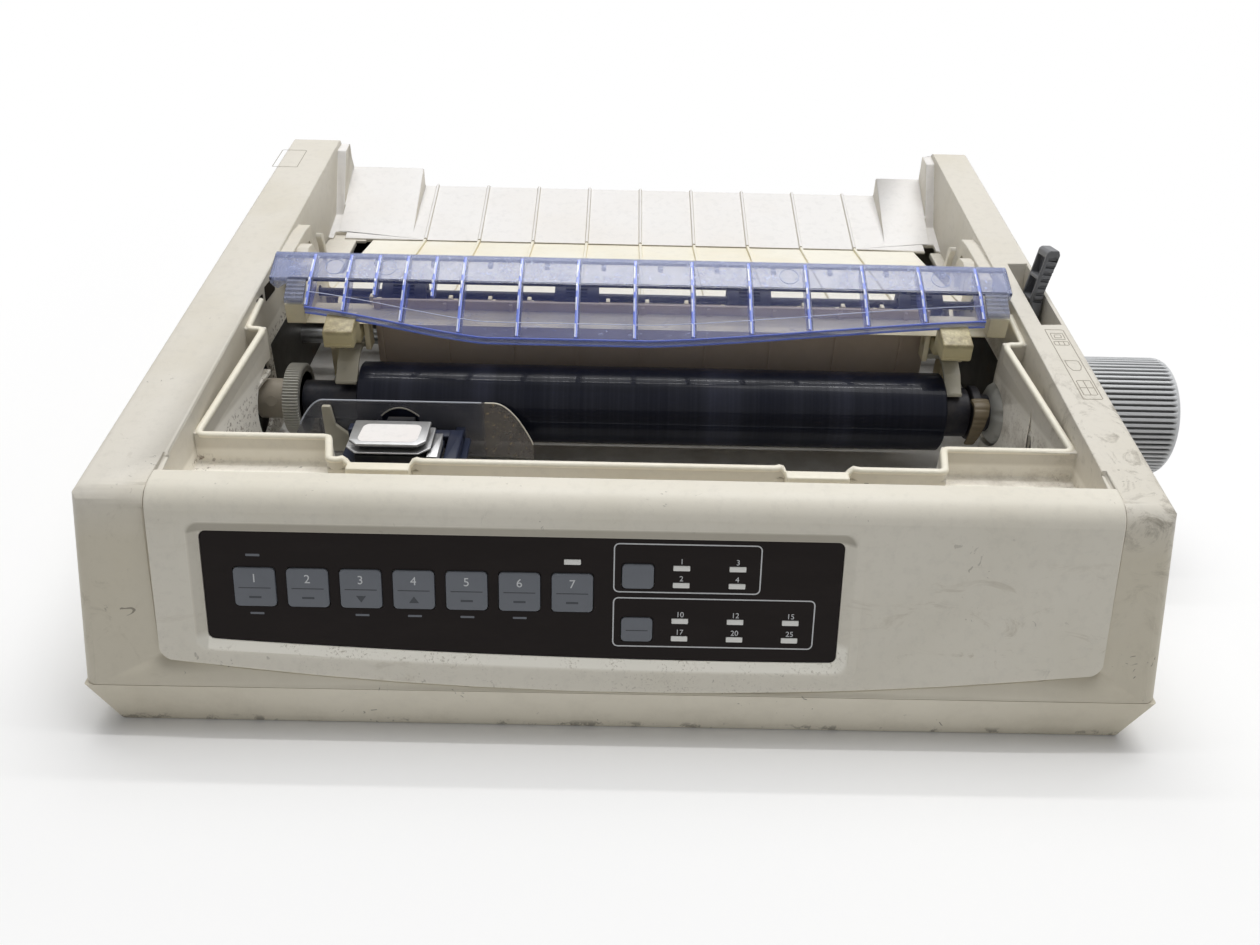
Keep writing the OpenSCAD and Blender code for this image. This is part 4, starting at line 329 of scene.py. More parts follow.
TAN = aged_plastic("lever_tan", (108, 96, 74), (78, 68, 52), 0.5, 0.9, 0.8, (48, 42, 34))
LEVER = aged_plastic("lever_grey", (106, 107, 110), (88, 88, 90), 0.45, 0.5, 0.4, (62, 62, 62))
KNOB = aged_plastic("knob_grey", (204, 206, 208), (156, 156, 156), 0.40, 0.5, 0.3, (118, 116, 112),
                    knob_dark_grooves)
NYLON = aged_plastic("gear_grey", (186, 185, 178), (150, 145, 132), 0.42, 0.8, 0.6, (96, 88, 74), gear_dirt)
WHITE = aged_plastic("nylon_white", (206, 201, 186), (176, 166, 142), 0.4, 0.6, 0.4)
KEY = aged_plastic("key_grey", (106, 110, 117), (96, 100, 106), 0.42, 0.4, 0.15, (86, 90, 94))
LABEL = aged_plastic("blank_label", (240, 237, 234), (232, 222, 218), 0.4, 0.6, 0.25, (170, 160, 150))
print("materials so far, the frame's own among them:", len(bpy.data.materials))

# %% [markdown]
# The dark parts differ mostly in their gloss. The platen is ground rubber that years of paper have polished
# in narrow bands, so its roughness changes along its length and shows as breaks in the long highlight. The
# steel is zinc plated sheet with a cloudy bloom. The boards and motors are hardly seen.

# %% Rubber, metal and dark finishes
def dark(name, colour, roughness, dusty=0.25, dust=(120, 112, 100)):
    """A dark plastic or paint with a thin uneven film of dust on it."""
    f = Finish(name, specular_ior_level=0.22)
    p = f.place()
    film = f.noise(p, 48, 5, 0.7).step(0.42, 0.78)
    f.set("Base Color", f.mix(paint(*colour), paint(*dust), film*dusty))
    f.set("Roughness", film*0.25 + roughness)
    return f.bump(f.noise(p, 1400, 2), 0.00002)

def platen_rubber():
    """Ground rubber: rings of different polish along X, a little paper dust, and a painted sheen that makes
    its top a little paler.
    """
    f = Finish("platen_rubber", specular_ior_level=0.08, coat_ior=1.22, coat_roughness=0.05)
    p = f.place()
    along = f.stretch(p, (1.0, 0.0, 0.0))
    rings, bands = f.noise(along, 620, 3, 0.6), f.noise(along, 38, 2, 0.5)
    # Painted sheen: above makes the top of the platen paler, as its highlight would.
    above = f.axes(p)[2].step(0.064, 0.078)
    pale = bands.step(0.52, 0.66)*0.20 + rings.step(0.45, 0.8)*0.12 + above*0.04
    f.set("Base Color", f.mix(paint(13, 16, 28), paint(58, 61, 82), pale))
    f.set("Roughness", (rings - 0.5)*0.12 + (bands - 0.5)*0.30 + 0.34)
    f.set("Coat Weight", (rings.step(0.30, 0.62)*0.5 + bands.step(0.40, 0.60)*0.5).clamp())
    return f.bump(rings + f.noise(p, 900, 2)*0.4, 0.00003)

def sheet_steel(name, colour, roughness=0.38, rust=0.15):
    """Plated sheet: a brushed metal with a cloudy bloom and a trace of brown."""
    f = Finish(name, metallic=1.0)
    p = f.place()
    bloom = f.noise(p, 70, 5, 0.7)
    brush = f.noise(f.stretch(p, (0.15, 1.0, 1.0)), 900, 2)
    tone = f.mix(paint(*colour), paint(*[c*0.72 for c in colour]), bloom.step(0.4, 0.75)*0.6)
    f.set("Base Color", f.layered(tone, (f.noise(p, 26, 5, 0.7).step(0.6, 0.75)*rust, 112, 84, 58)))
    f.set("Roughness", bloom*0.2 + (brush - 0.5)*0.15 + roughness)
    return f.bump(brush, 0.00001)

def film_black():
    """The panel's printed film: nearly black, satin, with faint wiping marks."""
    f = Finish("panel_film", specular_ior_level=0.10)
    wipe = f.noise(f.stretch(f.place(), (0.35, 1.0, 1.0)), 90, 5, 0.7)
    f.set("Base Color", f.mix(paint(32, 27, 26), paint(38, 33, 32), wipe.step(0.45, 0.8)))
    return f.set("Roughness", wipe*0.2 + 0.36)

def plain(name, colour, roughness, **fixed):
    """One even colour, for things too small to show any wear."""
    return Finish(name, base_color=paint(*colour), roughness=roughness, **fixed)

plastics = len(bpy.data.materials)
PLATEN = platen_rubber()
FILM = film_black()
BLACK = dark("black_plastic", (30, 31, 40), 0.40, 0.30)
CARRIAGE = dark("carriage_plastic", (34, 40, 58), 0.36, 0.16)
CHUTE = dark("chute_plastic", (206, 190, 174), 0.45, 0.35, (180, 164, 142))
ROLLER = dark("roller_rubber", (34, 38, 56), 0.50, 0.2)
RUBBER = dark("foot_rubber", (36, 35, 36), 0.7, 0.3)
ENAMEL = dark("motor_enamel", (42, 43, 46), 0.35, 0.3)
# Painted light: the bed plate is near white and not metal, so the deep shade under the platen reads lighter;
# the film on it is dust.
BED_PAINTED_LIGHT = dark("bed_sheet_painted_light", (232, 230, 226), 0.45, 0.5, (176, 166, 152))
BOARD = dark("circuit_board", (38, 84, 52), 0.4, 0.2)
STEEL = sheet_steel("plated_steel", (170, 168, 160))
FRAMES = sheet_steel("frame_steel", (92, 89, 84), 0.45, 0.4)
BAR = sheet_steel("ground_bar", (188, 190, 192), 0.22, 0.05)
ALLOY = sheet_steel("head_alloy", (178, 178, 178), 0.32, 0.05)
BRASS = sheet_steel("pinion_brass", (196, 160, 84), 0.3, 0.1)
INK = plain("panel_ink", (206, 208, 210), 0.5)
DIM = plain("panel_ink_dim", (52, 56, 62), 0.5)
GROOVE = plain("groove_shadow", (48, 50, 54), 0.6)
LAMP = plain("lamp_lens", (232, 232, 228), 0.25)
SLOT = plain("slot_shadow", (42, 36, 30), 0.8, specular_ior_level=0.1)
ENGRAVED = plain("engraved_line", (150, 143, 130), 0.6)
print("dark and metal finishes:", len(bpy.data.materials) - plastics)

# %% [markdown]
# The paper cover is blue-tinted clear plastic, and what the eye reads as blue is mostly its edges: light
# piped along the sheet leaves it at the rims and fins. Real refraction through so thin a sheet only blurs
# what stands behind it, so the sheet is see-through by its Alpha instead, and years of wiping have left it
# greyest towards the lip. The rims and fins get a bluer finish that hides more.

# %% Clear plastics
def clear(name, tint, roughness, cover, haze=0.1, wear=None, worn=(190, 194, 206), along=0.4):
    """Clear plastic: Alpha is the share it hides, more where it is hazed or scratched; wear adds a mask."""
    f = Finish(name, specular_ior_level=0.6)
    p = f.place()
    drawn_out = f.stretch(p, (along, 1.0, 1.0))
    streaks = f.noise(drawn_out, 60, 5, 0.7).step(0.42, 0.80)
    scratch = f.noise(drawn_out, 420, 4, 0.75, 0.6).step(0.58, 0.70)
    used = wear(*f.axes(p)) if wear else streaks*0.0
    dull = (scratch*0.40 + 0.16)*used
    f.set("Base Color", f.mix(paint(*tint), paint(*worn), (dull*1.6 + streaks*0.1).clamp()))
    f.set("Roughness", streaks*0.10 + used*0.15 + roughness)
    return f.set("Alpha", (streaks*haze + dull + cover).clamp())

def near_lip(x, y, z):
    """1 at the cover's lip, falling to 0 half way up the front slope."""
    return y.step(-0.020, -0.036)

def all_over(x, y, z):
    """The rear strip is scratched evenly."""
    return y*0.0 + 0.8

def old_end(x, y, z):
    """The shield's right end is brown with paper dust, and its foot a little."""
    return (x.step(-0.0640, -0.0615)*1.3).most(z.step(0.062, 0.056)*0.6).most(0.14)

CLEAR = clear("cover_clear", (92, 106, 184), 0.05, 0.06, 0.05, near_lip, (176, 182, 212))
HAZED = clear("cover_rear", (88, 106, 170), 0.12, 0.27, 0.18, all_over, (186, 196, 226), 1.0)
EDGE = clear("cover_edge", (98, 124, 228), 0.16, 0.40, 0.12)
# GLINT and SHINE paint highlights on the cover's lip and fins; NAVY paints dark lines of shade along its
# crease, its ends and each fin's right side.
GLINT = clear("cover_rim_highlight", (114, 138, 238), 0.12, 0.82)
SHINE = clear("cover_glint", (222, 228, 248), 0.12, 0.75, 0.3)
NAVY = clear("cover_crease_shade", (40, 50, 92), 0.15, 0.85)
REAR = clear("cover_rear_edge", (124, 136, 178), 0.2, 0.74, 0.2)
RIDGED = clear("cover_ridges", (150, 156, 182), 0.25, 0.34, 0.3)
PALE = clear("cover_pale", (176, 188, 222), 0.20, 0.40, 0.2)
SMOKE = clear("shield_smoke", (122, 124, 134), 0.22, 0.27, 0.22, old_end, (168, 150, 116), 1.0)
# SMOKE_EDGE paints the bright line of light along the shield's top edge.
SMOKE_EDGE = clear("shield_edge_highlight", (196, 200, 210), 0.2, 0.75)
CONE = clear("coupling_milky", (186, 186, 180), 0.35, 0.82, 0.1)
print("materials in all:", len(bpy.data.materials))

# %% [markdown]
# Every new piece is a surface on a grid of points. Rows follow one parameter and columns the other, so the
# faces are one array of indices, and numpy works out all the points at once. A plate with rounded edges is
# the same idea: its outline is repeated at a few heights, drawn in at the top and the bottom along a
# quarter circle.

# %% Grids, outlines and slabs
def grid_faces(rows, columns, wrap=True):
    """Quads that join each point of a grid to its neighbours; wrap closes each row on itself."""
    r, c = np.meshgrid(np.arange(rows - 1), np.arange(columns if wrap else columns - 1), indexing="ij")
    d = (c + 1) % columns
    quads = np.stack([r*columns + c, r*columns + d, (r + 1)*columns + d, (r + 1)*columns + c], -1)
    return quads.reshape(-1, 4).tolist()

def closed(rings):
    """A solid through rings of points, shape (rings, points, 3), with a face over each end."""
    rows, columns = rings.shape[:2]
    faces = grid_faces(rows, columns)
    faces += [list(range(columns))[::-1], list(range((rows - 1)*columns, rows*columns))]
    return rings.reshape(-1, 3), faces

def unit(v):
    return v/np.maximum(np.linalg.norm(v, axis=-1, keepdims=True), 1e-12)

def corners(x0, y0, x1, y1):
    return [[x0, y0], [x1, y0], [x1, y1], [x0, y1]]

def rounded(points, radius, steps=5):
    """A closed outline whose corners are arcs that touch both sides; radius is one number or one a corner."""
    q = np.asarray(points, float)
    u, v = unit(np.roll(q, 1, 0) - q), unit(np.roll(q, -1, 0) - q)
    half = np.arccos(np.clip((u*v).sum(1), -0.99999, 0.99999))/2
    r = np.broadcast_to(np.asarray(radius, float), half.shape)
    middle = q + unit(u + v)*(r/np.sin(half))[:, None]
    a, b = q + u*(r/np.tan(half))[:, None] - middle, q + v*(r/np.tan(half))[:, None] - middle
    start = np.arctan2(a[:, 1], a[:, 0])
    turn = np.arctan2(a[:, 0]*b[:, 1] - a[:, 1]*b[:, 0], (a*b).sum(1))
    angle = start[:, None] + turn[:, None]*np.linspace(0, 1, steps)
    arcs = middle[:, None] + r[:, None, None]*np.stack([np.cos(angle), np.sin(angle)], -1)
    return arcs.reshape(-1, 2)

def inset(outline, depth):
    """Each side of a closed outline moved inwards by depth, with mitred corners."""
    p = np.asarray(outline, float)
    x, y = p.T
    if (x*np.roll(y, -1) - np.roll(x, -1)*y).sum() < 0:
        depth = -depth
    e, g = unit(p - np.roll(p, 1, 0)), unit(np.roll(p, -1, 0) - p)
    m, n = np.stack([-e[:, 1], e[:, 0]], -1), np.stack([-g[:, 1], g[:, 0]], -1)
    return p + depth*(m + n)/np.maximum(1 + (m*n).sum(1), 0.25)[:, None]

def slab(outline, low, high, edge=0.5, steps=3):
    """A plate between two heights over an outline; its edges are quarter circles of the radius edge."""
    t = np.linspace(0, np.pi/2, steps + 1)
    draw, rise = edge*(1 - np.sin(t)), edge*(1 - np.cos(t))
    levels = list(zip(draw, low + rise)) + list(zip(draw[::-1], high - rise[::-1]))
    rings = np.stack([np.column_stack([inset(outline, d), np.full(len(outline), h)]) for d, h in levels])
    return closed(rings)

def box(a, b, edge=0.4):
    """A block between two corners with rounded edges."""
    return slab(rounded(corners(*a[:2], *b[:2]), max(edge, 0.05), 4), a[2], b[2], edge)

def spun(profile, count=72, ribs=None):
    """A profile of (along, radius) pairs turned round the X axis; ribs(angle, along, radius) is a factor."""
    angle = np.linspace(0, 2*np.pi, count, endpoint=False)
    along, radius = np.asarray(profile, float).T
    reach = radius[:, None]*(ribs(angle, along[:, None], radius[:, None]) if ribs else np.ones(count))
    rings = np.stack([np.broadcast_to(along[:, None], reach.shape), reach*np.cos(angle),
                      reach*np.sin(angle)], -1)
    return closed(rings)

def hollow(shape, count):
    """A spun shape without its two caps: its last ring is joined to its first, which leaves a bore."""
    k = np.arange(count)
    after, last = (k + 1) % count, len(shape[0]) - count
    return shape[0], shape[1][:-2] + np.stack([last + k, last + after, after, k], -1).tolist()

def pin(a, b, radius, bevel=0.2, count=32, core=1.2):
    """A round bar along X from a to b with bevelled ends."""
    small = radius - bevel
    profile = [(a, core), (a, small), (a + bevel, radius), (b - bevel, radius), (b, small), (b, core)]
    return spun(profile, count)

def moved(shape, by):
    return shape[0] + np.array(by, float), shape[1]

def along_x(shape):
    """A slab drawn in the Y-Z plane and stacked along X."""
    return shape[0][:, [2, 0, 1]], shape[1]

def bar(outline, radius, a, b, edge=0.3, points=3, steps=3):
    """A slab along X from a to b over an outline of (y, z) points with rounded corners."""
    return along_x(slab(rounded(outline, radius, points), a, b, edge, steps))

def bead(path, wide, high, side=None):
    """A bar carried along a path: a rectangle with cut corners, wide and high as numbers or one a point.
    Its width is level and square to the path, or lies along side where that is given."""
    path = np.asarray(path, float)
    wide, high = (np.broadcast_to(np.asarray(v, float), len(path))[:, None, None] for v in (wide, high))
    way = unit(np.gradient(path, axis=0))
    if side is None:
        side = unit(np.cross(way, [0, 0, 1.0]))
    side = np.broadcast_to(np.array(side, float), way.shape)
    top = unit(np.cross(side, way))
    section = np.array([[-1, -0.6], [-0.6, -1], [0.6, -1], [1, -0.6],
                        [1, 0.6], [0.6, 1], [-0.6, 1], [-1, 0.6]])/2
    rings = path[:, None] + side[:, None]*section[None, :, :1]*wide + top[:, None]*section[None, :, 1:]*high
    return closed(rings)

def on_front(shape):
    """A slab drawn on the leaning front face: x, height up the face, and depth out of it."""
    x, v, n = shape[0].T
    y = PANEL_FOOT[0] + v*math.sin(LEAN) - n*math.cos(LEAN)
    z = PANEL_FOOT[1] + v*math.cos(LEAN) + n*math.sin(LEAN)
    return np.stack([x, y, z], -1), shape[1]

def joined(*shapes):
    """Several shapes as one list of points and faces."""
    points, faces, start = [], [], 0
    for p, f in shapes:
        points.append(p)
        faces += [[i + start for i in face] for face in f]
        start += len(p)
    return np.concatenate(points), faces

# %% [markdown]
# All new pieces go through one function, so none is forgotten.

# %% Putting a mesh on a body
def placed(name, mesh, finish, body, node, angle):
    """Shades a mesh smooth up to an angle, and puts it into the scene as a piece that rides on a body."""
    for one in finish if isinstance(finish, (list, tuple)) else [finish]:
        mesh.materials.append(one.material)
    mesh.polygons.foreach_set("use_smooth", [True]*len(mesh.polygons))
    mesh.set_sharp_from_angle(angle=math.radians(angle))
    made = bpy.data.objects.new(name, mesh)
    bpy.context.scene.collection.objects.link(made)
    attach(made, body)
    if node:
        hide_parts(node)
    return made

def piece(name, shape, finish, body=ROOT, node=None, angle=38):
    """A shape, or a list of shapes, in millimetres, as one object with its faces turned outwards."""
    points, faces = joined(*shape) if isinstance(shape, list) else shape
    mesh = bpy.data.meshes.new(name)
    mesh.from_pydata((np.asarray(points)*MM).tolist(), [], faces)
    work = bmesh.new()
    work.from_mesh(mesh)
    bmesh.ops.remove_doubles(work, verts=work.verts, dist=1e-6)
    bmesh.ops.recalc_face_normals(work, faces=work.faces)
    work.to_mesh(mesh)
    work.free()
    return placed(name, mesh, finish, body, node, angle)

# %% [markdown]
# The case mouldings are already right as solids, but a solid's edges are razor sharp, and real mouldings
# catch a thin line of light along every edge. So the solid's mesh is copied, its loose triangles are merged
# and its flat faces joined, and only the long sharp edges are given a small rounding. Short edges, such as
# those of an arc, are left, because a rounding wider than its edge folds over itself.

# %% Rounded copies of the solid mouldings
def softened(name, node, finish, body=ROOT, width=0.7, shortest=2.2, sharp=24, regions=None,
             leave=None, reshape=None):
    """A merged copy of a solid whose long sharp edges a Bevel modifier rounds; leave(middle) keeps some,
    regions(centre, normal) chooses each face's finish, and reshape(point) moves points first."""
    mesh = frame["nodes"][node].data.copy()
    mesh.name = name
    work = bmesh.new()
    work.from_mesh(mesh)
    bmesh.ops.remove_doubles(work, verts=work.verts, dist=3e-6)
    bmesh.ops.dissolve_degenerate(work, edges=work.edges, dist=2e-6)
    bmesh.ops.dissolve_limit(work, angle_limit=math.radians(0.6), verts=work.verts, edges=work.edges)
    if reshape:
        for vert in work.verts:
            vert.co = reshape(vert.co/MM)*MM
    weights = work.edges.layers.float.new("bevel_weight_edge")
    rounded_edges = 0
    for edge in work.edges:
        middle = (edge.verts[0].co + edge.verts[1].co)/2/MM
        if len(edge.link_faces) == 2 and edge.calc_face_angle(0) > math.radians(sharp) \
                and edge.calc_length() > shortest*MM and not (leave and leave(middle)):
            edge[weights] = 1.0
            rounded_edges += 1
    for face in work.faces:
        face.material_index = regions(face.calc_center_median()/MM, face.normal) if regions else 0
    mesh.materials.clear()
    work.to_mesh(mesh)
    work.free()
    made = placed(name, mesh, finish, body, node, 30)
    bevel = made.modifiers.new("edges", "BEVEL")
    bevel.limit_method, bevel.width, bevel.segments = "WEIGHT", width*MM, 2
    bevel.use_clamp_overlap, bevel.harden_normals = False, True
    print(name, "edges rounded:", rounded_edges)

def deck_part(centre, normal):
    """1, the whiter finish, for the deck and its pads between the rails; 0 elsewhere."""
    over_deck = abs(centre.x - CASE_MIDDLE) < 171.5 and 115 < centre.y < 171 and centre.z > 74
    return int(over_deck and normal.z > 0.3)

def already_soft(m):
    """Edges to keep: the joint of the two halves, the round front corners and the deck's rear edge."""
    joint = 19.0 < m.z < 23.0
    corner = m.y < -146 and abs(m.x) > 176 and 25 < m.z < 86
    return joint or corner or (m.y > 164 and 70 < m.z < 104 and abs(m.x - CASE_MIDDLE) < 176)

def window_edge(m):
    """Edges of the panel's window, which the sloping frame made next covers."""
    return -160 < m.x < 86 and 32 < m.z < 88 and m.y > -172

def deeper_window(v):
    """The solid's own slope is pushed 0.7 mm further in, out of the way of the frame made next."""
    depth = (v.z - PANEL_FOOT[1])*math.sin(LEAN) - (v.y - PANEL_FOOT[0])*math.cos(LEAN)
    return v + Vector((0, math.cos(LEAN), -math.sin(LEAN)))*0.7 if -0.9 < depth < -0.7 else v

softened("case_bottom", "lower_case", CASE, width=1.0, shortest=4, leave=already_soft)
softened("case_top", "upper_case", [CASE, DECK], width=0.7, shortest=2.4,
         regions=deck_part, leave=already_soft)
softened("case_front_panel", "front_panel", PANEL, width=0.9, shortest=1.5, sharp=16,
         leave=window_edge, reshape=deeper_window)

# %% [markdown]
# The well's wall ends in a rounded creamy rim that runs all round the opening, dips at two places for the
# cover's hooks, and jogs at the sides. It is one profile carried along one path. The path is the wall's own
# line with its corners rounded, cut into even steps so that the dips come out smooth.

# %% Rim of the well
WELL = np.array([[-166.7, -8], [-166.7, -31], [-159.5, -31], [-166.5, -104], [-115.5, -104], [-111, -122.5],
                 [118.9, -122.5], [122.9, -104], [173.5, -104], [165.5, -31], [173.7, -31], [173.7, -8]])
LOW_PLACES = (-92.5, 70.9)

def even(path, step):
    """The same open path with points at even steps along it."""
    path = np.asarray(path, float)
    run = np.concatenate([[0], np.cumsum(np.linalg.norm(np.diff(path, axis=0), axis=1))])
    at = np.linspace(0, run[-1], int(run[-1]/step))
    return np.column_stack([np.interp(at, run, path[:, k]) for k in range(path.shape[1])])

def smooth(t):
    """3 t^2 - 2 t^3, which leaves 0 and reaches 1 level."""
    return t*t*(3 - 2*t)

def swell(x, wide, soft):
    """1 within wide of either low place, falling smoothly to 0 over soft."""
    return smooth(np.max([np.clip((wide + soft - np.abs(x - c))/soft, 0, 1) for c in LOW_PLACES], axis=0))

def carried(path, section):
    """A section of (sideways, upwards) pairs carried level along a path."""
    way = unit(np.gradient(path, axis=0)*[1, 1, 0])
    side = np.stack([way[:, 1], -way[:, 0], np.zeros(len(way))], -1)
    up = np.array([0, 0, 1.0])
    return closed(path[:, None] + side[:, None]*section[None, :, :1] + up*section[None, :, 1:])

around = np.vstack([WELL, [[173.7, 40], [-166.7, 40]]])
rim_line = even(np.vstack([WELL[:1], rounded(around, 2.4, 5)[5:-15], WELL[-1:]]), 1.3)
rx, ry = rim_line.T
front_run = np.clip((-104 - ry)/18.5, 0, 1)
dip = swell(rx, 11.4, 1.6)
shoulder = swell(rx, 13.6, 2.2) - dip
rim_z = 88 + (ry + 104)*10/88 + 4.0*front_run - 2.6*dip*front_run
rim_path = np.column_stack([rx, ry + 0.8*shoulder*front_run, rim_z])
turn = np.linspace(0, np.pi, 9)
rim_bead = np.column_stack([1.45*np.cos(turn), 1.15*np.sin(turn) - 0.6])
rim_section = np.vstack([[[1.45, -1.2]], rim_bead, [[-1.45, -1.2]]])
skirt_section = np.array([[1.12, -7.0], [1.12, 0.1], [-1.12, 0.1], [-1.12, -7.0]])
piece("well_rim", carried(rim_path, rim_section), RIM, angle=60)
piece("rim_skirt", carried(rim_path, skirt_section), CASE)
pockets = [box((c - 11.8, -127.4, 79), (c + 11.8, -122.4, 88.6), 0.7) for c in LOW_PLACES]
piece("rim_pockets", pockets, RIM)
print("points along the rim:", len(rim_path))

# %% [markdown]
# The panel's window is framed by a slope that falls inwards to the film, sharp at the film and soft where it
# leaves the panel's face. It is the window's outline grown in steps, each step a little further out of the
# face, so the corners turn rounder as they grow.

# %% Sloping frame of the window
def window_outline(grow):
    """The window grown by a distance: three straight sides and a lower edge v = 13.6 + (x - 41.3)^2/6600."""
    low = lambda x: 13.6 + (x - 41.3)**2/6600 - grow
    x0, x1, top, radius = -151.3 - grow, 78 + grow, 61.3 + grow, 2.5 + 0.55*grow
    arcs = rounded([[x0, low(x0)], [x1, low(x1)], [x1, top], [x0, top]], radius, 7)
    across = np.linspace(x0 + 8, x1 - 8, 40)
    return np.vstack([arcs[:7], np.column_stack([across, low(across)]), arcs[7:]])

slope_rows = [(0.0, -1.7), (0.0, -0.70), (0.3, -0.56), (3.2, 0.90), (3.8, 1.14), (4.4, 1.24), (5.2, 1.26),
              (7.4, 1.26), (7.4, 0.8), (0.0, -1.7)]
slope_rings = np.stack([np.column_stack([window_outline(grow), np.full(68, out)])
                        for grow, out in slope_rows])
window_slope = slope_rings.reshape(-1, 3), grid_faces(len(slope_rows), 68)
piece("window_slope", on_front(window_slope), FRAME, angle=20)
print("points round the window:", slope_rings.shape[1])

# %% [markdown]
# The control panel is a printed film with windows for the keys. Each key is a low cap with rounded edges
# and a line across it; the printing is generic here, plain numbers and simple signs, laid on as ink a few
# hundredths of a millimetre thick. Ink could be painted in the material, but as geometry it stays crisp.

# %% Keys, lamps and printing
FILM_TOP = -1.0                        # the film's face, measured out of the panel's face
CAP_TOP = FILM_TOP + 0.7

def plate(x, v, wide, high, low, top, radius=0.2, edge=0.01, steps=1):
    """A rounded rectangle on the leaning front, centred on (x, v), between two depths."""
    outline = rounded(corners(x - wide/2, v - high/2, x + wide/2, v + high/2), radius, 6)
    return on_front(slab(outline, low, top, edge, steps))

key_places = [(-132.8 + 18.97*i, 40, 14.9, 14.9) for i in range(7)] \
    + [(4.5, 46.9, 11.4, 9.4), (4.5, 26, 11.4, 9.4)]
for number, (x, v, wide, high) in enumerate(key_places, 1):
    cap = plate(x, v, wide, high, FILM_TOP - 4.2, CAP_TOP, 1.6, 0.45, 4)
    piece(f"key_cap_{number}", cap, KEY, f"key_{number}", f"key_{number}")
    if number != 8:
        # The line across each key is a thin dark strip, painted shade of a groove.
        line = plate(x, v - 0.2, wide - 3.4, 0.36, CAP_TOP - 0.1, CAP_TOP + 0.03, 0.1, 0.03)
        piece(f"key_line_{number}", line, GROOVE, f"key_{number}")

lamp_places = [(-18.98, 51.85)] + [(20.1 + dx, 46.9 + dv) for dx in (0, 20.1) for dv in (3.3, -3.3)] \
    + [(20.1 + dx, 26 + dv) for dx in (0, 20.1, 40.2) for dv in (3.5, -3.5)]
lenses = [plate(x, v, 6, 2, FILM_TOP - 0.8, FILM_TOP + 0.22, 0.3, 0.12, 2) for x, v in lamp_places]
piece("lamp_lenses", lenses, LAMP, node="indicator_lamps")

def printed(text, x, v, size, top):
    """Digits as a thin solid on the leaning front, centred on (x, v)."""
    curve = bpy.data.curves.new("ink", "FONT")
    curve.body, curve.size, curve.extrude = text, size, 0.02
    curve.align_x, curve.align_y = "CENTER", "CENTER"
    holder = bpy.data.objects.new("ink", curve)
    bpy.context.scene.collection.objects.link(holder)
    bpy.context.view_layer.update()
    mesh = bpy.data.meshes.new_from_object(holder.evaluated_get(bpy.context.evaluated_depsgraph_get()))
    points = np.zeros(len(mesh.vertices)*3)
    mesh.vertices.foreach_get("co", points)
    faces = [list(p.vertices) for p in mesh.polygons]
    for store, used in ((bpy.data.objects, holder), (bpy.data.meshes, mesh), (bpy.data.curves, curve)):
        store.remove(used)
    return on_front((points.reshape(-1, 3) + [x, v, top], faces))

def frame_line(x0, v0, x1, v1):
    """A thin rounded rectangle of ink, as a flat ring with a little thickness."""
    outer = rounded(corners(x0, v0, x1, v1), 2.0, 6)
    inner, low, top = inset(outer, 0.45), FILM_TOP - 0.02, FILM_TOP + 0.04
    rings = np.stack([np.column_stack([line, np.full(len(line), h)]) for line, h in
                      ((outer, low), (outer, top), (inner, top), (inner, low), (outer, low))])
    return on_front((rings.reshape(-1, 3), grid_faces(5, len(outer))))

signs = [frame_line(-4.3, 40.5, 48.7, 59.5), frame_line(-4.3, 19.0, 69.0, 38.6)]
signs += [printed(str(i + 1), x, v + 3.4, 4.6, CAP_TOP + 0.02)
          for i, (x, v, _, _) in enumerate(key_places[:7])]
signs += [printed(number, x, v + 2.5, 2.9, FILM_TOP + 0.02) for (x, v), number in
          zip(lamp_places[1:], ("1", "2", "3", "4", "10", "17", "12", "20", "15", "25"))]
piece("panel_print", signs, INK)
marks = [(key_places[i][0], 29.6, 0.8) for i in (0, 2, 3, 4, 5)] + [(key_places[0][0], 52.2, 0.9)]
dim_marks = [plate(x, v, 5.0, high, FILM_TOP - 0.02, FILM_TOP + 0.03) for x, v, high in marks]
piece("panel_print_dim", dim_marks, KEY)
UP, DOWN = [[-1.8, -5.0], [1.8, -5.0], [0, -2.4]], [[-1.8, -2.6], [0, -5.2], [1.8, -2.6]]
key_signs = []
for (x, v, _, _), sign in zip(key_places, (None, None, DOWN, UP, None, None, None)):
    outline = rounded(np.array(sign or corners(-2.2, -4.2, 2.2, -3.4)) + [x, v], 0.08, 2)
    key_signs.append(on_front(slab(outline, CAP_TOP - 0.02, CAP_TOP + 0.04, 0.02, 1)))
piece("key_signs", key_signs, DIM)
print("keys:", len(key_places), "lamps:", len(lamp_places), "printed signs:", len(signs))

# %% [markdown]
# The platen is the heart of the machine: a rubber sleeve on a tube, turned by a gear at its left and a
# ribbed knob at its right. All of these are profiles spun round the X axis. The knob's grip is a wave in
# the radius, flat between the ribs and rounded over them, that fades out towards its smooth end.

# %% Platen, knob and coupling
KNOB_RIBS, GEAR_TEETH = 66, 72
sleeve = [(-118.7, 14.5), (-118.7, 16.9), (-118.1, 17.5), (-60, 17.5), (0, 17.5), (60, 17.5), (100, 17.5),
          (140.3, 17.5), (140.9, 16.9), (140.9, 14.5)]
piece("platen_sleeve", moved(hollow(spun(sleeve, 96), 96), AXIS), PLATEN, "platen", "platen_roller",
      30)

def knob_ribs(angle, along, radius):
    """The radius is whole on a rib and 5 % less between two ribs, and the wave fades out at both ends."""
    rib = np.clip((0.5 + 0.5*np.cos(KNOB_RIBS*angle) - 0.16)/0.34, 0, 1)
    fade = np.clip((along - 202.6)/1.2, 0, 1)*np.clip((237.4 - along)/1.2, 0, 1)
    return 1 - 0.050*(1 - smooth(rib))*fade

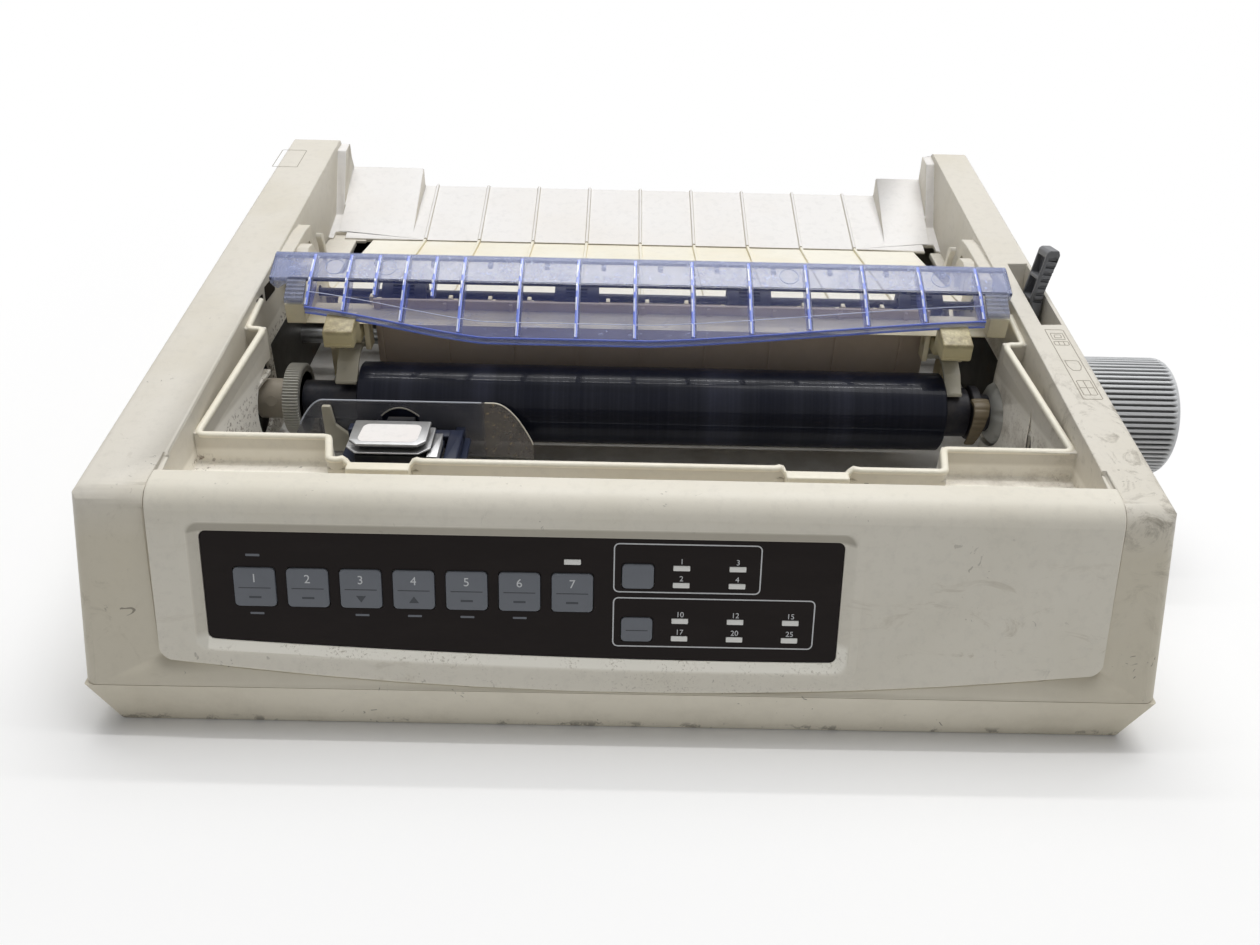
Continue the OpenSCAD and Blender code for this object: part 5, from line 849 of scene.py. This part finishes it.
turns = np.linspace(0, np.pi/2, 6)
shell = [(232.5, 0.8), (232.5, 22.0), (201.5, 22.4), (201.5, 25.6), (202.3, 26.5), (204.0, 26.5), (210, 26.5),
         (222, 26.5), (235.8, 26.5)] + [(236.6 + 3.9*math.sin(t), 22.6 + 3.9*math.cos(t)) for t in turns] \
    + [(240.5, 10), (240.0, 8.5), (240.0, 1)]
hub = [(199.5, 4.2), (199.5, 7.6), (199.9, 8.0), (233, 8.0), (233, 4.2)]
piece("knob_grip", moved(joined(spun(shell, KNOB_RIBS*10, knob_ribs), spun(hub, 48)), AXIS), KNOB, "platen",
      "platen_knob", 40)

def creases(angle, along, radius):
    """Seven soft folds that grow with the radius, as on a gathered rubber boot."""
    return 1 - 0.10*np.clip(np.cos(7*angle) - 0.55, 0, 1)/0.45*np.clip((radius - 8)/6, 0, 1)

cone = [(162.8, 4), (162.8, 8.4), (163.8, 11.0), (165.2, 13.2), (167.2, 14.4), (170.0, 14.6), (174.4, 14.6),
        (174.9, 14.2), (175.6, 9), (175.6, 4)]
piece("coupling_cone", moved(spun(cone, 84, creases), AXIS), CONE, "platen", "drive_coupling",
      50)
print("knob ribs:", KNOB_RIBS)

# %% [markdown]
# The platen gear has fine teeth, a dished face and a long hub with one set screw. The teeth are the same
# kind of wave as the knob's ribs, only steeper, and they touch the ring's outside alone.

# %% Platen gear
def gear_teeth(angle, along, radius):
    """A flattened cosine that takes 7 % off the radius between two teeth, and nothing off the bore."""
    return 1 - 0.074*(1 - np.clip(0.5 + 1.1*np.cos(GEAR_TEETH*angle), 0, 1))*(radius > 14)

def in_hub(profile, reach):
    """A small round thing set into the hub's front, 22 degrees above level, at a reach from the axis."""
    points, faces = spun(profile, 32)
    c, s = math.cos(math.radians(22)), math.sin(math.radians(22))
    x, y, z = (points[:, [1, 2, 0]] + [-158.2, 0, reach]).T
    return np.stack([x, -z*c - y*s, z*s - y*c], -1), faces

toothed = [(-144.7, 12.4), (-151.7, 12.4), (-151.7, 15.6), (-151.3, 16.1), (-145.1, 16.1), (-144.7, 15.6)]
web = [(-151.2, 4.1), (-151.2, 12.6), (-149.4, 12.6), (-149.4, 8), (-145.7, 8), (-145.7, 4.1)]
gear_hub = [(-165.2, 4.1), (-165.2, 8.5), (-164.7, 9), (-151.4, 9), (-151.4, 4.1)]
hole_lip = in_hub([(0, 1.6), (0, 2.1), (0.25, 2.3), (0.5, 2.3), (0.5, 1.6)], 8.75)
wheel = joined(spun(toothed, GEAR_TEETH*8, gear_teeth), spun(web, 64), spun(gear_hub, 64), hole_lip)
piece("platen_gear_wheel", moved(wheel, AXIS), NYLON, "platen", "platen_gear", 32)
# Painted shade: the set screw's hole is a thin dark disc inside the lip, not an opening.
hole = in_hub([(0, 0.05), (0, 1.7), (0.1, 1.7), (0.1, 0.05)], 9.02)
piece("set_screw_hole_shade", moved(hole, AXIS), SLOT, "platen")
print("gear teeth:", GEAR_TEETH)

# %% [markdown]
# The lock lever is a small tan thumb piece whose pad has ridges that a finger can feel. It is a bar carried
# along the lever's bend, and its thickness rises and falls along the pad. The latches and the paper fingers
# are plain plates, drawn from the side, with small bars and pins added.

# %% Lock lever, latches and paper fingers
ring = hollow(pin(154.1, 157.7, 12.2, 0.3, 48, 8.46), 48)
horn = even([[156.0, -8.5, 11.2], [156.0, -13.0, 11.0], [155.4, -16.2, 8.4], [154.4, -18.0, 4.0],
             [153.2, -18.6, -1.0], [152.0, -18.0, -5.4]], 0.35)
along = np.linspace(0, 1, len(horn))
thumb = bead(horn, 7.6 - 3.6*along, 2.2 + 0.45*np.abs(np.sin(along*34)) - 0.9*along, (1, 0, 0))
piece("lock_thumb", moved(thumb, AXIS), TAN, "lock_lever", "platen_lock_lever")
piece("lock_ring", moved(ring, AXIS), BLACK, "lock_lever")

latch_outline = [[-39.5, 91.5], [-32.3, 91.5], [-26.3, 87.4], [-16.3, 87], [-13.9, 90], [-15.3, 93],
                 [-25.1, 93.4], [-25.1, 102.2], [-27.5, 102.6], [-39.5, 99.3]]
for side, x0 in (("left", -131.8), ("right", 136.0)):
    block = bar(latch_outline, [0.8, 1.5, 1.5, 1, 1, 1, 0.6, 0.8, 0.8, 0.9], x0, x0 + 13, 0.7, 4)
    pivot = moved(pin(x0 - 2.6, x0 + 15.6, 2.0, 0.1), (0, -17.3, 90))
    lip = bar(corners(-39.9, 92.6, -39.3, 93.3), 0.15, x0 + 0.8, x0 + 12.2, 0.1)
    piece(f"{side}_latch_block", [block, pivot, lip], YELLOW, f"{side}_cover_latch", f"{side}_latch")

finger_outline = [[-18.3, 82], [-18.3, 83.6], [-25.3, 83.4], [-31.3, 80.6], [-35.3, 76.6], [-37.7, 74.6],
                  [-38.9, 75.2], [-39.2, 74], [-37.7, 73], [-34.3, 75.4], [-30.3, 79.2], [-24.9, 81.8]]
tip_outline = [[-39.4, 73.6], [-37.4, 72.7], [-37.0, 73.9], [-39.0, 75.0]]
for side, x0, wide, rod_x in (("left", -129.3, 9.5, -132.2), ("right", 141.3, 7.4, 135.6)):
    blade = bar(finger_outline, 0.35, x0, x0 + wide)
    rod = bar(corners(-19.3, 81.6, -14.3, 84.4), 0.5, rod_x, rod_x + 13.8)
    tip = bar(tip_outline, 0.3, x0 + 0.2, x0 + wide - 0.2)
    piece(f"{side}_finger_blade", [blade, rod, tip], FINGER, ROOT, f"{side}_paper_finger")
print("points along the lock lever:", len(horn))

# %% [markdown]
# The clear cover is a sheet bent along one crease, with a lip that swings forward in the middle, and thin
# fins under it that follow its underside. Each is a strip of points swept along X.

# %% Clear cover
CREASE_Y, HINGE = -15, (0, 10, 105)
MAIN0, MAIN1 = -141.4, 156.1           # X of the front slope's ends

def cover_top(y):
    """Height of the cover's upper face: a steep front slope up to the crease, then a flatter rear strip."""
    return np.where(y > CREASE_Y, 113 + (y + 15)*5.7/15, 98.5 + (y + 40)*14.5/25)

def top_at(y):
    return float(cover_top(y))

def lip_y(x):
    """The lip lies straight in the middle and draws back towards both ends in a soft S."""
    x = np.asarray(x, float)
    left, right = np.clip((-62.5 - x)/78.9, 0, 1), np.clip((x - 9.5)/146.6, 0, 1)
    t = np.maximum(left, right)
    return -40 + 12*(smooth(t)*0.35 + t*0.65)

def between(front, back):
    """A thin solid between two grids of the same size, with all four rims closed."""
    rows, columns = front.shape[:2]
    n = rows*columns
    faces = grid_faces(rows, columns, False)
    faces = faces + [[i + n for i in f[::-1]] for f in faces]
    edge = np.concatenate([np.arange(columns), columns - 1 + columns*np.arange(1, rows),
                           n - 2 - np.arange(columns - 1), columns*np.arange(rows - 2, 0, -1)])
    after = np.roll(edge, -1)
    faces += np.stack([edge, edge + n, after + n, after], -1).tolist()
    return np.concatenate([front.reshape(-1, 3), back.reshape(-1, 3)]), faces

def sheet(x, y_rows):
    """A bent sheet on the cover's upper face from rows of Y for each X; it is 1.6 mm thick."""
    upper = np.stack([np.broadcast_to(x, y_rows.shape), y_rows, cover_top(y_rows)], -1)
    return between(upper, upper - [0, 0, 1.6])

def cover_piece(name, shapes, finish, node=None):
    piece(name, shapes, finish, "cover", node)

x = np.linspace(MAIN0, MAIN1, 90)
share = np.linspace(0, 1, 14)[:, None]
cover_piece("cover_sheet", sheet(x, lip_y(x)*(1 - share) + CREASE_Y*share), CLEAR, "clear_cover")
rear_rows = np.linspace(CREASE_Y, 0, 8)[:, None]*np.ones((1, 60))
cover_piece("cover_rear_strip", sheet(np.linspace(-158.4, 169.2, 60), rear_rows), HAZED)

fin_at = [MAIN0 + 0.8] + [-124.4 + 25.4*k for k in range(11)] + [MAIN1 - 0.8]
half_at = [-111.7, -86.3]
fins = []
for at in fin_at:
    lip = float(lip_y(at))
    outline = [[-0.7, 116.9], [-1.7, 112.7], [-13, 105.5], [lip + 3, top_at(lip + 3) - 5.5],
               [lip + 0.8, top_at(lip + 0.8) - 2.2], [-15, 111.2]]
    fins.append(bar(outline, 0.25, at - 0.9, at + 0.9, 0.25, 2, 2))
half_fin = [[-0.7, 116.9], [-1.7, 112.7], [-16, 106.5], [-22, 107.2], [-15, 111.2]]
fins += [bar(half_fin, 0.25, at - 0.7, at + 0.7, 0.2, 2, 2) for at in half_at]
cover_piece("cover_fins", fins, EDGE)
print("fins:", len(fins))

# %% [markdown]
# What makes the cover read as blue glass is its rims. The lip is a narrow band with a painted highlight, a
# bright bead, along its upper and its lower edge; the crease and the rear edge are dark threads, the crease
# and the ends painted dark as shade; every fin has a bright seam, a painted highlight, where it meets the
# sheet and a dark seam of painted shade at its right, and short glints, painted highlights too, lie on the
# seams. They are thin beads laid on the sheet.

# %% Rims of the cover
lip_points = np.column_stack([x, lip_y(x), cover_top(lip_y(x))])
cover_piece("cover_lip_band", bead(lip_points + [0, 0.9, -1.7], 0.9, 2.6), PALE)
# Painted highlights along the lip's upper and lower edges and down each fin, painted glints on them, and
# painted shade at each fin's right.
highlight_beads = [bead(lip_points + [0, 0.5, -0.45], 0.8, 0.8), bead(lip_points + [0, 0.9, -3.2], 1.0, 0.8)]
glints = [bead(lip_points + [0, 7.0, 7.0*0.58 - 0.1], 0.35, 0.3)]
shade_seams = []
for at in fin_at + half_at:
    first = float(lip_y(at)) + 1 if at in fin_at else -22.0
    run = np.concatenate([np.linspace(first, -15.2, 9), np.linspace(-14.6, -1.0, 5)])
    seam = np.column_stack([np.full(14, at), run, cover_top(run)])
    highlight_beads.append(bead(seam + [-0.15, 0, -0.15], 1.3, 0.5))
    shade_seams.append(bead(seam + [0.95, 0, -0.35], 0.6, 0.5))
    glints += [bead(seam[k:k + 3] + [-0.5, 0, 0.10], 0.6, 0.35) for k in (0, 4, 7, 10)]
rear_edge = bar([[-1.9, 116.4], [0, 117.1], [0, 118.6], [-1.9, 117.9]], 0.2, -158.6, 169.4, 0.15)
crease = bar([[-15.6, 111.6], [-14.4, 112.0], [-14.4, 113.3], [-15.6, 112.8]], 0.2, -150.6, 167.2, 0.15)
side_edges = [bar([[-15, 111.4], [-14, 111.4], [0, 116.7], [0, 118.4], [-15, 112.8]], 0.3, a, a + 1.0, 0.2)
              for a in (-158.9, 168.7)]
for name, shapes, finish in (("highlight_beads", highlight_beads, GLINT), ("shade_seams", shade_seams, NAVY), ("glints", glints, SHINE),
                             ("rear_edge", rear_edge, REAR), ("dark_edges", [crease, *side_edges], NAVY)):
    cover_piece("cover_" + name, shapes, finish)
print("seams:", len(shade_seams), "glints:", len(glints))

# %% [markdown]
# At both ends the sheet folds down to arms that carry the hinge pins, and the corners in front of them are
# ridged for the fingers. Small tabs and gate marks under the rear strip are left from the moulding.

# %% Ends, tabs and ridges of the cover
arm = [[0, 117.6], [-15, 112.0], [-15, 110], [-9, 105], [6, 101], [13, 101], [14, 108], [3, 117.0]]
ends = [bar(arm, 0.5, a, a + 1.4, 0.25) for a in (-158.8, 168.2)]
ends += [moved(pin(a, b, 2, 0.2, 24, 1), HINGE) for a, b in ((-158, -146.5), (163, 168.8))]
cover_piece("cover_ends", ends, PALE)
tab_z = top_at(-2.3)
tabs = [box((at + 10, -4.6, tab_z - 3.4), (at + 12.2, -0.8, tab_z - 1.4), 0.3) for at in fin_at[1:-1]]
circle = np.linspace(0, 2*np.pi, 41)
circle_y = -8 + 4.2*np.sin(circle)
for at in (-131, -108, 71, 139):
    mark = np.column_stack([at + 4.2*np.cos(circle), circle_y, cover_top(circle_y) - 0.1])
    tabs.append(bead(mark, 0.35, 0.4))
cover_piece("cover_tabs", tabs, PALE)
steps = []
for a, b in ((-150.6, -142.4), (157.2, 167.0)):
    steps.append(sheet(np.linspace(a, b, 6), (-25.2*(1 - share) + CREASE_Y*share)*np.ones((1, 6))))
    steps += [box((a, y - 0.9, top_at(y) - 1.8), (b, y + 0.6, top_at(y) + 0.3), 0.25)
              for y in -16.5 - 1.9*np.arange(5)]
cover_piece("cover_ridged_ends", steps, RIDGED)
print("tabs and gate marks:", len(tabs))

# %% [markdown]
# The guide under the cover and the carriage are mouldings again, so they are rounded copies of their solids;
# the chute behind the platen keeps its solid's mesh. The guide's upright posts are blocks, and leave room for
# the four rollers.

# %% Guide and carriage
def guide_top(centre, normal):
    """1, the whiter finish, for the guide's top plate; 0 for its beam and blocks."""
    return int(centre.y > 12 and normal.z > 0.2)

def low_beam(v):
    """The front beam's part above 96 is pressed flat onto 95 to 96, so the pull-up rollers behind it show."""
    if -24.6 < v.y < -4.0 and 96.1 < v.z < 104 and -150 < v.x < 167:
        return Vector((v.x, v.y, 95 + 0.14*(v.z - 96)))
    return v

ROLLERS_AT = (-103, -24, 55, 134)
softened("guide_moulding", "paper_guide", [CREAM, GUIDE], width=0.5, shortest=1.8,
         regions=guide_top, reshape=low_beam)
posts = [box((at - 0.9, -4.6, 93), (at + 0.9, -0.9, 99.6), 0.25) for at in -117.5 + 17.97*np.arange(14)
         if min(abs(at - c) for c in ROLLERS_AT) > 11.5]
piece("guide_posts", posts, CREAM)
rod = moved(pin(-150.5, 167, 1.9, 0.3, 32, 0.4), (0, 3, 98))
piece("pull_up_rod", rod, BLACK, "pull_up_roller", "pull_up_shaft")
softened("carriage_moulding", "carriage_frame", CARRIAGE, "carriage", 0.7, 2.0)
print("posts:", len(posts))

# %% [markdown]
# The head is a finned metal block under two thin plates with cut corners, with a blank label on the upper
# one. The label is a slab a tenth of a millimetre thick, so that its edge still shows. Low blocks of the
# carriage close round the head, with a row of contact strips at its right.

# %% Print head and collar
HEAD = (-98.5, -76.5)

def cut_plate(wide, deep, cut, low, top, edge):
    """A plate centred on the head whose two front corners are cut off."""
    w, d = wide/2, deep/2
    outline = [[cut - w, -d], [w - cut, -d], [w, cut - d], [w, d], [-w, d], [-w, cut - d]]
    return moved(slab(rounded(outline, 0.6, 3), low, top, edge), (*HEAD, 0))

softened("head_body", "print_head", ENAMEL, "carriage", 0.5, 1.8)
plates = [cut_plate(32, 18.5, 3.5, 71.2, 72.6, 0.45), cut_plate(35, 20.5, 4.5, 68.2, 69.0, 0.3)]
piece("head_cover_plates", plates, ALLOY, "carriage", "head_plates")
label = rounded(np.array([[-12.6, -7.2], [12.2, -7.2], [12.8, 6.2], [-11.6, 6.2]]) + HEAD, 3.0, 6)
piece("head_label", slab(label, 72.55, 72.68, 0.04, 1), LABEL, "carriage")
collar = [box((-119, -92, 59.6), (-78, -60.5, 62.6), 0.8), box((-119, -66, 60), (-112, -60.5, 67), 0.8),
          box((-84.5, -66, 60), (-70, -60.5, 64.5), 0.8), box((-76, -88, 60), (-70, -62, 65.5), 0.8)]
piece("carriage_collar", collar, CARRIAGE, "carriage")
contacts = [box((-82.5, -86, 63 + 0.9*k), (-78, -70 + 0.5*k, 63.5 + 0.9*k), 0.15) for k in range(5)]
piece("carriage_contacts", contacts, ALLOY, "carriage")
print("head at:", HEAD)

# %% [markdown]
# The ribbon shield is a thin smoked sheet that stands between the head and the platen. Its ends curl a
# little towards the front, an arch in its foot leaves the head's nose free, and its top edge carries a bright
# line, a painted highlight.

# %% Ribbon shield
def shield_top(x):
    """Height of the shield's top edge: it rises over 14 mm at the left and falls over 17 mm at the right."""
    left, right = np.clip((x + 145)/14, 0, 1), np.clip((-41 - x)/17, 0, 1)
    return np.minimum(55 + 19.5*np.sin(left*np.pi/2)**0.8, 55 + 19.5*np.sin(right*np.pi/2)**0.9)

def shield_y(x):
    """The sheet lies flat behind the head and curls forward at both ends."""
    return -54.6 - 5.5*np.clip((-131 - x)/14, 0, 1)**2 - 2.0*np.clip((x + 52)/11, 0, 1)**2

def arch_z(off):
    """The arch over the head's nose: its top falls off with the square of the distance from the middle."""
    return 71.2 - 0.062*off**2

def shield_foot(x):
    """Height of the lower edge: 47, but the arch over the head and a lifted corner at the left."""
    off = np.abs(x - HEAD[0])
    return np.where(off < 8.4, arch_z(off), 47.0 + 8*np.clip((-143 - x)/2, 0, 1))

shield_x = np.linspace(-145, -41, 209)
rise = np.linspace(0, 1, 16)[:, None]
z_rows = shield_foot(shield_x)*(1 - rise) + shield_top(shield_x)*rise
y_rows = np.broadcast_to(shield_y(shield_x), z_rows.shape)
flat = np.stack([np.broadcast_to(shield_x, z_rows.shape), y_rows, z_rows], -1)
piece("shield_sheet", between(flat - [0, 0.3, 0], flat + [0, 0.3, 0]), SMOKE, "carriage", "ribbon_shield")
top_line = np.column_stack([shield_x, shield_y(shield_x), shield_top(shield_x)])
# Painted highlight: a pale bead along the top edge, where it catches the light.
bright = bead(top_line[(shield_x > -142) & (shield_x < -62.5)], 0.7, 0.6)
piece("shield_top_edge", bright, SMOKE_EDGE, "carriage")
arch = np.linspace(-8.2, 8.2, 40)
dull = [bead(np.column_stack([arch + HEAD[0], np.full(40, -54.6), arch_z(arch)]), 0.5, 0.5),
        bead(top_line[shield_x > -62], 0.7, 0.5),
        bead([[-62.3, -55.2, 49.0], [-62.3, -55.2, 60.0], [-62.3, -55.2, 74.0]], 0.5, 0.5)]
piece("shield_dull_edges", dull, WHITE, "carriage")
post_outline = [[-131.5, 50], [-119.0, 50], [-120.5, 58], [-126.5, 63.5], [-127.6, 72.8], [-131.5, 72.8]]
points, faces = slab(rounded(post_outline, 0.8, 3), -57.4, -55.4, 0.4)
piece("shield_post", (points[:, [0, 2, 1]], faces), FINGER, "carriage")
brackets = [box((a, -60.6, 58), (a + 4, -54.3, 62), 0.3) for a in (-116.5, -74.5)]
piece("shield_brackets", brackets, CARRIAGE, "carriage")
print("shield columns:", len(shield_x))

# %% [markdown]
# The rails carry small things that make them look used and real: three engraved signs beside the levers, an
# empty engraved frame at the left rear, two slots in the left rail's inner wall, painted as dark plates of
# shade, and a hook and a rib at each cover hinge. The signs are generic here, a sheet and rollers in outline,
# with no words.

# %% Signs, slots and hooks on the rails
def engraved(points):
    """A thin line through (x, y) points on the rails' sloping top, z = 93 + 0.0717 (y + 151)."""
    x, y = even(np.asarray(points, float), 1.2).T
    return bead(np.stack([x, y, 93 + 0.0717*(y + 151) + 0.02], -1), 0.35, 0.12)

def rectangle(x0, y0, x1, y1):
    return [*corners(x0, y0, x1, y1), [x0, y0]]

lever_key = [[183.8, -52.5], [189.4, -52.5], [189.4, -57.0], [188.2, -60], [185.0, -60], [183.8, -57.0],
             [183.8, -52.5]]
lines = [rectangle(182.6, -81, 190.6, -27.5), rectangle(184.0, -35.5, 189.4, -30.5),
         rectangle(185.2, -34.2, 188.2, -31.8), rectangle(183.6, -40.2, 189.8, -37.2),
         [[185.6, -40.2], [185.6, -37.2]], [[187.8, -40.2], [187.8, -37.2]], lever_key,
         rectangle(183.8, -78, 189.6, -67.5), [[183.8, -72.8], [189.6, -72.8]],
         [[186.7, -78], [186.7, -67.5]], rectangle(-196.0, 128, -182.5, 151)]
piece("rail_signs", [engraved(line) for line in lines], ENGRAVED)

def slot_shade_plate(y0, y1, z):
    """A dark plate on the left rail's inner wall: painted shade where a narrow slot opens."""
    outline = [[y0, z + 1], [y1, z], [y1 + 1.5, z + 6.6], [y0 + 1.5, z + 7.6]]
    return bar(outline, 0.5, -167.62, -167.3, 0.05, steps=1)

piece("rail_slot_shades", [slot_shade_plate(-13, -4, 92.2), slot_shade_plate(0, 15, 92.7)], SLOT)
hook = [[33.5, 90], [37.5, 90], [37.5, 95.5], [41, 98.6], [45.4, 97.2], [46.2, 93.4], [50, 92.6],
        [50.6, 98.4], [46.6, 103.0], [40.0, 103.8], [35.0, 101.4], [33.2, 97.0]]
rib = [[54.5, 86], [58.5, 86], [59.5, 96], [57.5, 104.0], [54.0, 105.6], [53.0, 103.5], [55.5, 99],
       [55.8, 94]]
hooks = [bar(outline, 0.8, a, b, 0.4) for outline, a, b in
         ((hook, 162.9, 168.7), (rib, 160.0, 162.9), (hook, -161.7, -155.9), (rib, -155.9, -153.0))]
piece("hinge_hooks", hooks, CASE)
ledges = [box((-167.4, 64, 73.5), (-151.8, 115.4, 76.5), 0.5),
          box((168.2, 64, 73.5), (174.4, 115.4, 76.5), 0.5),
          box((-166.8, 114.6, 75.0), (-146.4, 124.6, 76.6), 0.3)]
piece("side_ledges", ledges, CASE)
print("engraved lines:", len(lines))

# %% [markdown]
# The remaining solids are right as they are. A steel bar, a pinion or a motor needs only its finish, so
# each keeps its own mesh and gets a better material.

# %% Finishes for the solids that stay
softened("path_lever_moulding", "paper_lever", LEVER, "path_lever", 0.5, 1.4)
softened("collar_moulding", "platen_collars", BLACK, "platen", 0.4, 0.3, 50)
stays = {RUBBER: "case_feet timing_belt", CHUTE: "paper_chute", FILM: "control_overlay", BED_PAINTED_LIGHT: "bed_plate",
         BOARD: "control_board main_board", FRAMES: "left_side_frame right_side_frame", BRASS: "motor_pinion",
         WHITE: "platen_bushes return_pulley idler_gear",
         BAR: "guide_shaft platen_shaft tractor_shafts screws",
         ENAMEL: "carriage_motor line_feed_motor power_transformer", ALLOY: "drive_pulley",
         STEEL: "motor_bracket data_connector", ROLLER: "pull_up_rollers",
         BLACK: "left_tractor right_tractor power_inlet power_switch"}
for finish, nodes in stays.items():
    for node in nodes.split():
        solid = frame["nodes"][node].data
        solid.materials.clear()
        solid.materials.append(finish.material)
        solid.polygons.foreach_set("material_index", [0]*len(solid.polygons))
print("solids with a new finish:", sum(len(nodes.split()) for nodes in stays.values()))

# %% [markdown]
# The studio is a pale floor under a soft lamp, with two narrow tubes whose reflections streak the platen as
# those of a workshop ceiling do. The light comes almost wholly from above, and the fronts are lit by what
# the floor throws back, so they are about half as bright as the tops. Away from the object the floor turns
# white for the rays of the camera, of mirrors and of clear pieces only, and adds no light; so does the world.

# %% Floor, lamps and world
floor_mesh = bpy.data.meshes.new("floor")
floor_mesh.from_pydata([[-4, -4, 0], [4, -4, 0], [4, 4, 0], [-4, 4, 0]], [], [[0, 1, 2, 3]])
floor = bpy.data.objects.new("floor", floor_mesh)
bpy.context.scene.collection.objects.link(floor)
ground = plain("floor_pale", (248, 248, 248), 0.9, specular_ior_level=0.1)
floor_x, floor_y, _ = ground.axes(ground.place())
away = (abs(floor_x) - 0.20).most(abs(floor_y) - 0.18).step(0.0, 0.20)
glow = ground.node("ShaderNodeEmission", {}, {"Color": (1, 1, 1, 1), "Strength": 1.0})
ground.shown(away*ground.seen_ray(), Term(ground, ground.shader.outputs[0]), glow, "Material Output")
floor_mesh.materials.append(ground.material)
floor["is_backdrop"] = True

def lamp(name, place, aim, size, power):
    """A wide rectangular lamp at a place, turned to face a point."""
    light = bpy.data.lights.new(name, "AREA")
    light.shape, light.size, light.size_y, light.energy = "RECTANGLE", size[0], size[1], power
    holder = bpy.data.objects.new(name, light)
    bpy.context.scene.collection.objects.link(holder)
    holder.location = place
    holder.rotation_euler = (Vector(aim) - Vector(place)).to_track_quat("-Z", "Y").to_euler()

lamp("ceiling", (0.45, 0.75, 2.7), (0, 0, 0), (2.8, 1.5), 47)
lamp("rear_tube", (0.0, 0.95, 2.2), (0, 0, 0.06), (2.2, 0.035), 10)
lamp("front_tube", (0.0, 0.38, 2.2), (0, 0, 0.06), (2.2, 0.035), 10)

world = bpy.data.worlds.new("studio")
bpy.context.scene.world = world
sky = Nodes(world)
soft = sky.tree.nodes["Background"]
soft.inputs["Color"].default_value, soft.inputs["Strength"].default_value = (1, 1, 1, 1), 0.26
white = sky.node("ShaderNodeBackground", {}, {"Color": (1, 1, 1, 1), "Strength": 1.0})
sky.shown(sky.seen_ray(), Term(sky, soft.outputs[0]), white, "World Output")
print("lamps:", len(bpy.data.lights))

# %% Size and finish
low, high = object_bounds()
{"cad": [list(cad_low), list(cad_high)], "visual": [list(low), list(high)]}
print("visual size in mm:", [round((b - a)/MM, 1) for a, b in zip(low, high)])
